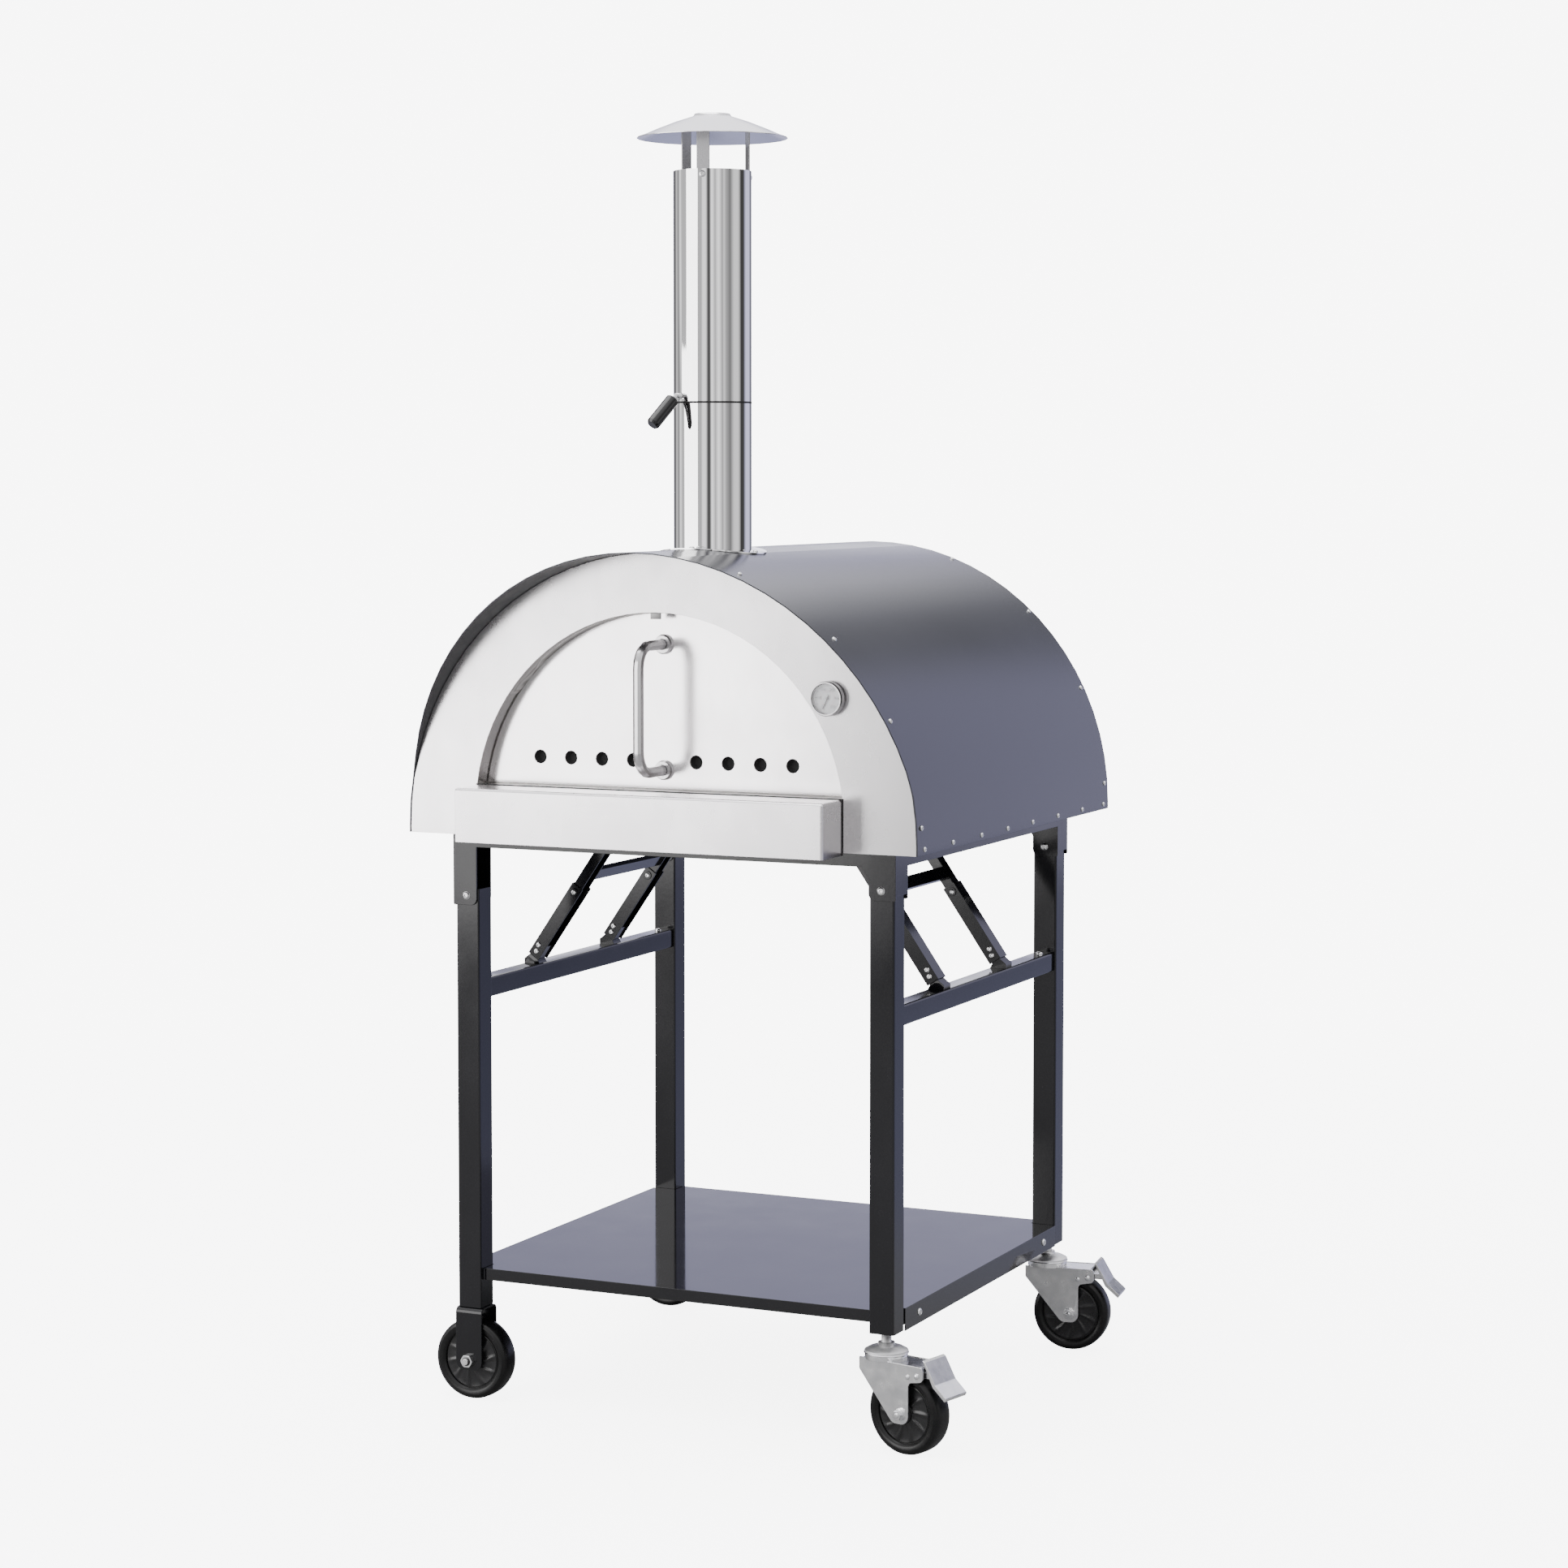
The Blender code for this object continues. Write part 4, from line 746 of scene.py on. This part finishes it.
def build_flue_seam():
    """Dark soot line in the seam between the two flue pipes."""
    low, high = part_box("chimney_lower")
    radius = (high.x - low.x) / 2
    profile = [(radius - 0.0004, -0.0012), (radius + 0.0002, -0.0010), (radius + 0.00028, 0.0),
               (radius + 0.0002, 0.0010), (radius - 0.0004, 0.0012)]
    bm = bmesh.new()
    lathe(bm, profile, Matrix.Translation((FLUE.x, FLUE.y, high.z)), 96)
    add_piece("flue_seam", bm, SOOT_AND_SHADE_BLACK, "oven")


def build_ledge_shade_line():
    """Black strip round the back of the ledge, where it meets the face: painted shade for the shadow in the
    gap there.
    """
    low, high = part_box("front_ledge")
    near = high.y - 0.0011
    far = high.y + 0.0001
    top = high.z + 0.0011
    sunk = 0.0004
    proud = 0.0012
    bm = bmesh.new()
    block(bm, (low.x, near, high.z - sunk), (high.x, far, top), 0.0004)
    block(bm, (low.x - proud, near, low.z), (low.x + sunk, far, top), 0.0004)
    block(bm, (high.x - sunk, near, low.z), (high.x + proud, far, top), 0.0004)
    add_piece("ledge_shade_line", bm, SOOT_AND_SHADE_BLACK, "oven")


def build_vent_shade():
    """Dished black caps that close the vent holes from inside the pad: painted shade, so the holes look dark.
    """
    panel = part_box("door_panel")[1].y
    dish = [(0.0, 0.0060), (0.0050, 0.0052), (0.0080, 0.0012), (0.0083, 0.0002), (0.0084, 0.0010),
            (0.0054, 0.0060), (0.0, 0.0066)]
    bm = bmesh.new()
    for number in range(1, 5):
        for side in SIDES.values():
            lathe(bm, dish, frame_at((FLUE.x + side * number * VENT_PITCH, panel, VENT_Z), (0, 1, 0)), 24)
    add_piece("vent_shade_caps", bm, SOOT_AND_SHADE_BLACK, "door")


# ---------------------------------------------------------------- thermometer

SWEEP_START = 145                               # degrees from the top of the dial to its first mark
SWEEP = 290
TICKS = 50
NUMBERS = 6


def build_dial_marks():
    """Two rings of ticks and plain numbers on the dial."""
    low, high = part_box("thermometer_dial")
    centre = Vector(((low.x + high.x) / 2, low.y - 0.00006, (low.z + high.z) / 2))
    radius = (high.x - low.x) / 2

    def spot(angle, reach):
        return centre + Vector((-math.sin(angle) * reach, 0.0, math.cos(angle) * reach))

    def stroke(bm, angle, start, end, half):
        side = Vector((math.cos(angle), 0.0, math.sin(angle))) * half
        corners = [spot(angle, start) - side, spot(angle, start) + side, spot(angle, end) + side,
                   spot(angle, end) - side]
        bm.faces.new([bm.verts.new(corner) for corner in corners])

    dark = bmesh.new()
    red = bmesh.new()
    for i in range(TICKS + 1):
        angle = math.radians(SWEEP_START - SWEEP * i / TICKS)
        inner, half = (0.78, 0.00028) if i % 5 == 0 else (0.85, 0.00016)
        stroke(dark, angle, radius * inner, radius * 0.94, half)
        if i % 2 == 0:
            stroke(red, angle, radius * (0.44 if i % 10 == 0 else 0.47), radius * 0.54, 0.00020)
    add_piece("dial_ticks", dark, DARK_INK, "oven")
    add_piece("dial_inner_ticks", red, RED_INK, "oven")

    for i in range(NUMBERS):
        angle = math.radians(SWEEP_START - SWEEP // (NUMBERS - 1) * i)
        curve = bpy.data.curves.new(f"dial_number_{i}", "FONT")
        curve.body = str(100 * i)
        curve.size = 0.0050
        curve.align_x = "CENTER"
        curve.align_y = "CENTER"
        text = bpy.data.objects.new(f"dial_text_{i}", curve)
        mesh = bpy.data.meshes.new_from_object(text)
        bpy.data.objects.remove(text, do_unlink=True)
        mesh.transform(Matrix.Translation(spot(angle, radius * 0.665)) @ Matrix.Rotation(math.pi / 2, 4, "X"))
        mesh.materials.clear()
        mesh.materials.append(DARK_INK)
        number = bpy.data.objects.new(f"dial_number_{i}", mesh)
        bpy.context.scene.collection.objects.link(number)
        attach(number, "oven")


# ---------------------------------------------------------------- wheels and casters

RIBS = 10
RIB_RINGS = 9
DISC_R = (0.0122, 0.0344)
TYRE = [(0.0365, 0.0118), (0.0385, 0.0140), (0.0400, WHEEL_HALF), (0.0445, WHEEL_HALF), (0.0452, 0.0143),
        (0.0470, 0.0138), (0.0487, 0.0120), (0.0497, 0.0085), (WHEEL_R, 0.0040)]
HUB = [(0.0045, 0.0165), (0.0108, 0.0165), (0.0120, 0.0158), (0.0126, 0.0110), (0.0340, 0.0105),
       (0.0350, 0.0098), (0.0368, 0.0098), (0.0376, 0.0090)]
SLEEVE = [(0.0042, 0.0166), (0.0066, 0.0166), (0.0070, 0.0162), (0.0070, 0.0120), (0.0042, 0.0120)]


def rippled_disc(bm, matrix, side):
    """Add the hub's face between its boss and rim: low swept ribs that melt into a shallow dish."""
    def spot(share):
        swell = math.sin(math.pi * share) ** 0.6 if 0 < share < 1 else 0.0
        radius = DISC_R[0] + (DISC_R[1] - DISC_R[0]) * share

        def at_angle(angle):
            rib = max(0.0, math.cos(RIBS * angle + 2.2 * share)) ** 3
            return radius, side * (0.0130 - 0.0014 * share - 0.0010 * swell + 0.0015 * rib * swell)
        return at_angle

    rings = [add_ring(bm, matrix, 120, spot(i / (RIB_RINGS - 1))) for i in range(RIB_RINGS)]
    for inner, outer in zip(rings, rings[1:]):
        bridge(bm, inner, outer)


def build_wheel(name, body, node, axis):
    """Replace a wheel by a rounded tyre and a ribbed plastic hub with a metal bearing sleeve."""
    matrix = frame_at(middle(node), axis)
    tyre = bmesh.new()
    lathe(tyre, mirrored(TYRE), matrix, 72)
    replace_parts(add_piece(f"{name}_tyre", tyre, TREAD, body), node)

    hub = bmesh.new()
    lathe(hub, mirrored(HUB), matrix, 72)
    for side in (1.0, -1.0):
        rippled_disc(hub, matrix, side)
    add_piece(f"{name}_hub", hub, HUB_PLASTIC, body)

    sleeve = bmesh.new()
    for side in (1.0, -1.0):
        lathe(sleeve, [(radius, height * side) for radius, height in SLEEVE], matrix, 32)
    add_piece(f"{name}_sleeve", sleeve, ZINC, body)


def joint_named(name):
    """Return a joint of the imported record."""
    return next(joint for joint in frame["joints"] if joint["name"] == name)


CASTER_RIVETS = ((0.0, 0.0985, 0.0036), (-0.013, 0.0960, 0.0030))   # ahead of the pedal's pivot, z, radius
FORK_HALF = 0.0200
RACEWAY = [(0.0235, 0.0), (0.0262, 0.0002), (0.0268, 0.0010), (0.0262, 0.0018), (0.0235, 0.0020)]
RACEWAY_Z = 0.1146
STEM_NUT_Z = 0.1224
LOCK_INSERT = [(0.0040, 0.0064), (0.0056, 0.0064), (0.0055, 0.0074), (0.0040, 0.0080)]


def build_casters():
    """Wheels, rivets, nuts and raceway rings of the two casters."""
    for end in ENDS:
        roll = joint_named(f"caster_{end}_roll")
        axis = Vector(roll["axis"])
        build_wheel(f"caster_{end}", f"caster_roller_{end}", f"caster_wheel_{end}", axis)
        swivel = Vector(joint_named(f"caster_{end}_swivel")["pos_m"])
        hub = Vector(roll["pos_m"])
        ahead = Vector((hub.x - swivel.x, hub.y - swivel.y, 0.0)).normalized()
        pivot = Vector(joint_named(f"caster_{end}_brake")["pos_m"])
        rivets = bmesh.new()
        for side in (1.0, -1.0):
            out = axis * side
            for along, height, size in CASTER_RIVETS:
                place = pivot + ahead * along + out * FORK_HALF
                place.z = height
                dome = [(0.0, 0.0024), (size * 0.6, 0.0021), (size * 0.92, 0.0011), (size, 0.0),
                        (0.0, -0.0002)]
                lathe(rivets, dome, frame_at(place, out), 20)
            nut(rivets, hub + out * (FORK_HALF + 0.0040), out, 0.0105, 0.0030, 0.0030 if side > 0 else 0.0)
        add_piece(f"caster_{end}_rivets", rivets, ZINC, f"caster_swivel_{end}")
        rings = bmesh.new()
        lathe(rings, RACEWAY, frame_at((swivel.x, swivel.y, RACEWAY_Z), (0, 0, 1)), 48)
        nut(rings, (swivel.x, swivel.y, STEM_NUT_Z), (0, 0, 1), 0.0170, 0.0048)
        add_piece(f"caster_{end}_raceway", rings, ZINC, "oven")


def build_fixed_wheels():
    """Wheels on the left legs, with lock nuts and their dark inserts on the axles."""
    for end in ENDS:
        build_wheel(f"fixed_{end}", f"fixed_roller_{end}", f"fixed_wheel_{end}", Vector((0, 1, 0)))
        centre = middle(f"fixed_wheel_{end}")
        seat = Vector((centre.x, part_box(f"fixed_fork_{end}")[0].y - 0.0001, centre.z))
        nuts = bmesh.new()
        nut(nuts, seat, (0, -1, 0), 0.0146, 0.0066)
        add_piece(f"fixed_{end}_nut", nuts, ZINC, "oven")
        insert = bmesh.new()
        lathe(insert, LOCK_INSERT, frame_at(seat, (0, -1, 0)), 32)
        add_piece(f"fixed_{end}_insert", insert, HUB_PLASTIC, "oven")


smoothed([name for name in NODES if not name.startswith(("caster_wheel", "fixed_wheel"))])
darken_hood()
build_shell_screws()
build_pivot_bolts()
build_stay_hardware()
build_stand_screws()
build_arch_clip()
build_flue_seam()
build_ledge_shade_line()
build_vent_shade()
build_dial_marks()
build_casters()
build_fixed_wheels()


# ---------------------------------------------------------------- stage, lights and camera

FLOOR_R = 6.0
BACKDROP = 8.0                                  # how bright the camera sees the backdrop


def add_floor():
    """Lay a plain pale floor that fades into the backdrop and is dimmer in the oven's reflections."""
    bm = bmesh.new()
    bmesh.ops.create_circle(bm, cap_ends=True, segments=96, radius=FLOOR_R)
    mesh = bpy.data.meshes.new("floor")
    bm.to_mesh(mesh)
    bm.free()
    floor = bpy.data.objects.new("floor", mesh)
    bpy.context.scene.collection.objects.link(floor)
    material, tree, shader = new_shader("pale_floor", (0.80, 0.80, 0.81), 0.0, 0.7)
    soft = noise(tree, 1.5, 3.0)
    base = tint(tree, spread(tree, soft, 0.0, 1.0), (0.79, 0.79, 0.80), (0.82, 0.82, 0.83))
    finish_shader(tree, shader, base)
    glow = add_node(tree, "ShaderNodeEmission", Color=WHITE, Strength=BACKDROP * 0.75)
    lit = add_node(tree, "ShaderNodeAddShader", i0=shader.outputs[0], i1=glow.outputs[0])
    far = add_node(tree, "ShaderNodeEmission", Color=WHITE, Strength=BACKDROP)
    place = add_node(tree, "ShaderNodeTexCoord").outputs["Object"]
    reach = add_node(tree, "ShaderNodeVectorMath", {"operation": "LENGTH"}, i0=place).outputs["Value"]
    fade = spread(tree, reach, 0.0, 1.0, 1.0, 3.2)
    pale = add_node(tree, "ShaderNodeMixShader", i0=fade, i1=lit.outputs[0], i2=far.outputs[0])
    back = add_node(tree, "ShaderNodeSeparateXYZ", Vector=place).outputs["Y"]
    tone = tint(tree, spread(tree, back, 0.0, 1.0, 0.2, 1.2), (0.32, 0.32, 0.32), (0.25, 0.26, 0.38))
    dim = add_node(tree, "ShaderNodeBsdfDiffuse", Color=tone)
    seen = add_node(tree, "ShaderNodeLightPath").outputs["Is Camera Ray"]
    mixed = add_node(tree, "ShaderNodeMixShader", i0=seen, i1=dim.outputs[0], i2=pale.outputs[0])
    tree.links.new(mixed.outputs[0], tree.nodes["Material Output"].inputs["Surface"])
    mesh.materials.append(material)


# The studio's wall as the oven reflects it: share of a turn (0 front, 0.25 left), brightness, colour.
GREY = (1.0, 0.99, 1.0)
LILAC = (0.90, 0.915, 1.13)
VIOLET = (0.85, 0.84, 1.17)
PANELS = [
    (0.000, 1.50, GREY), (0.010, 1.50, GREY), (0.021, 0.62, GREY), (0.040, 0.70, GREY), (0.213, 0.70, GREY),
    (0.237, 1.55, GREY), (0.264, 0.24, GREY), (0.295, 0.93, GREY), (0.335, 0.14, GREY), (0.375, 0.14, GREY),
    (0.400, 0.85, VIOLET), (0.450, 1.00, VIOLET), (0.478, 0.22, LILAC), (0.520, 0.22, LILAC),
    (0.540, 1.10, VIOLET), (0.598, 1.10, VIOLET), (0.636, 0.07, GREY), (0.670, 0.07, GREY),
    (0.702, 1.07, GREY), (0.738, 1.07, GREY), (0.779, 0.22, GREY), (0.817, 0.55, GREY), (0.834, 1.10, GREY),
    (0.847, 0.48, GREY), (0.877, 1.65, GREY), (0.9055, 0.64, GREY), (0.934, 1.70, GREY), (0.948, 0.12, GREY),
    (0.966, 0.105, GREY), (0.985, 1.50, GREY), (1.000, 1.50, GREY)]
WALL_STRENGTH = 2.0
CEILING = (1.00, 0.99, 1.01)
WINDOW_TOP = (1.20, 1.19, 1.25)
WINDOW_FOOT = (1.20, 1.20, 1.35)


def between(tree, value, start, full, fade, end):
    """Return one between two values, and zero outside them, with soft ends."""
    return math_node(tree, "MULTIPLY", spread(tree, value, 0.0, 1.0, start, full),
                     spread(tree, value, 1.0, 0.0, fade, end))


def set_world():
    """Wrap the stage in a soft studio: panels of many brightnesses all round, and a plain ceiling.

    A window behind the left side of the oven lights the shelf, in a low band and again higher up.
    """
    world = bpy.data.worlds.new("studio")
    bpy.context.scene.world = world
    world.use_nodes = True
    tree = world.node_tree
    tree.nodes.clear()
    ray = add_node(tree, "ShaderNodeTexCoord").outputs["Generated"]
    parts = add_node(tree, "ShaderNodeSeparateXYZ", Vector=ray)
    height = parts.outputs["Z"]
    turn = math_node(tree, "ARCTAN2", parts.outputs["X"], parts.outputs["Y"])
    around = math_node(tree, "ADD", math_node(tree, "DIVIDE", turn, 2 * math.pi), 0.5)
    ramp = add_node(tree, "ShaderNodeValToRGB", Fac=around)
    elements = ramp.color_ramp.elements
    for number, (position, level, colour) in enumerate(PANELS):
        if number < 2:
            element = elements[number]
            element.position = position
        else:
            element = elements.new(position)
        element.color = (*(level * value / WALL_STRENGTH for value in colour), 1.0)
    rise = spread(tree, height, 0.0, 1.0, 0.30, 0.85)
    sky = tint(tree, rise, ramp.outputs["Color"], CEILING)
    window = between(tree, around, 0.36, 0.39, 0.465, 0.50)
    upper = spread(tree, height, 0.0, 1.0, 0.27, 0.45)
    sky = tint(tree, math_node(tree, "MULTIPLY", window, upper), sky, WINDOW_TOP)
    lower = between(tree, height, 0.085, 0.105, 0.170, 0.200)
    sky = tint(tree, math_node(tree, "MULTIPLY", window, lower), sky, WINDOW_FOOT)
    soft = add_node(tree, "ShaderNodeBackground", Color=sky, Strength=WALL_STRENGTH)
    plain = add_node(tree, "ShaderNodeBackground", Color=WHITE, Strength=BACKDROP)
    seen = add_node(tree, "ShaderNodeLightPath").outputs["Is Camera Ray"]
    mixed = add_node(tree, "ShaderNodeMixShader", i0=seen, i1=soft.outputs[0], i2=plain.outputs[0])
    output = add_node(tree, "ShaderNodeOutputWorld")
    tree.links.new(mixed.outputs[0], output.inputs["Surface"])


def add_area(name, place, target, size, power, colour=(1.0, 1.0, 1.0)):
    """Hang a soft rectangular light, aimed at a point."""
    light = bpy.data.lights.new(name, "AREA")
    light.shape = "RECTANGLE"
    light.size = size[0]
    light.size_y = size[1]
    light.energy = power
    light.color = colour
    obj = bpy.data.objects.new(name, light)
    obj.location = place
    obj.rotation_mode = "QUATERNION"
    obj.rotation_quaternion = (Vector(target) - Vector(place)).to_track_quat("-Z", "Y")
    obj.visible_camera = False
    bpy.context.scene.collection.objects.link(obj)


CAMERA_PLACE = (1.8712, -4.0180, 1.1515)
CAMERA_AZIMUTH = 24.834
CAMERA_PITCH = 3.57


def add_camera():
    """Place the camera: about 25 degrees to the oven's right, a little above its middle."""
    camera = bpy.data.cameras.new("camera")
    camera.sensor_width = 36.0
    camera.lens = 81.25
    camera.shift_y = -0.06
    camera.clip_start = 0.05
    camera.clip_end = 200.0
    obj = bpy.data.objects.new("camera", camera)
    obj.location = CAMERA_PLACE
    obj.rotation_euler = (math.pi / 2 - math.radians(CAMERA_PITCH), 0.0, math.radians(CAMERA_AZIMUTH))
    bpy.context.scene.collection.objects.link(obj)
    bpy.context.scene.camera = obj


add_floor()
set_world()
add_area("softbox", (-2.51, -2.79, 1.38), (0.0, 0.0, 1.38), (3.25, 2.46), 122.0, (1.0, 0.99, 0.99))
add_area("overhead", (-0.5, -0.3, 4.0), (0.0, 0.0, 0.9), (2.6, 2.6), 90.0)
add_camera()
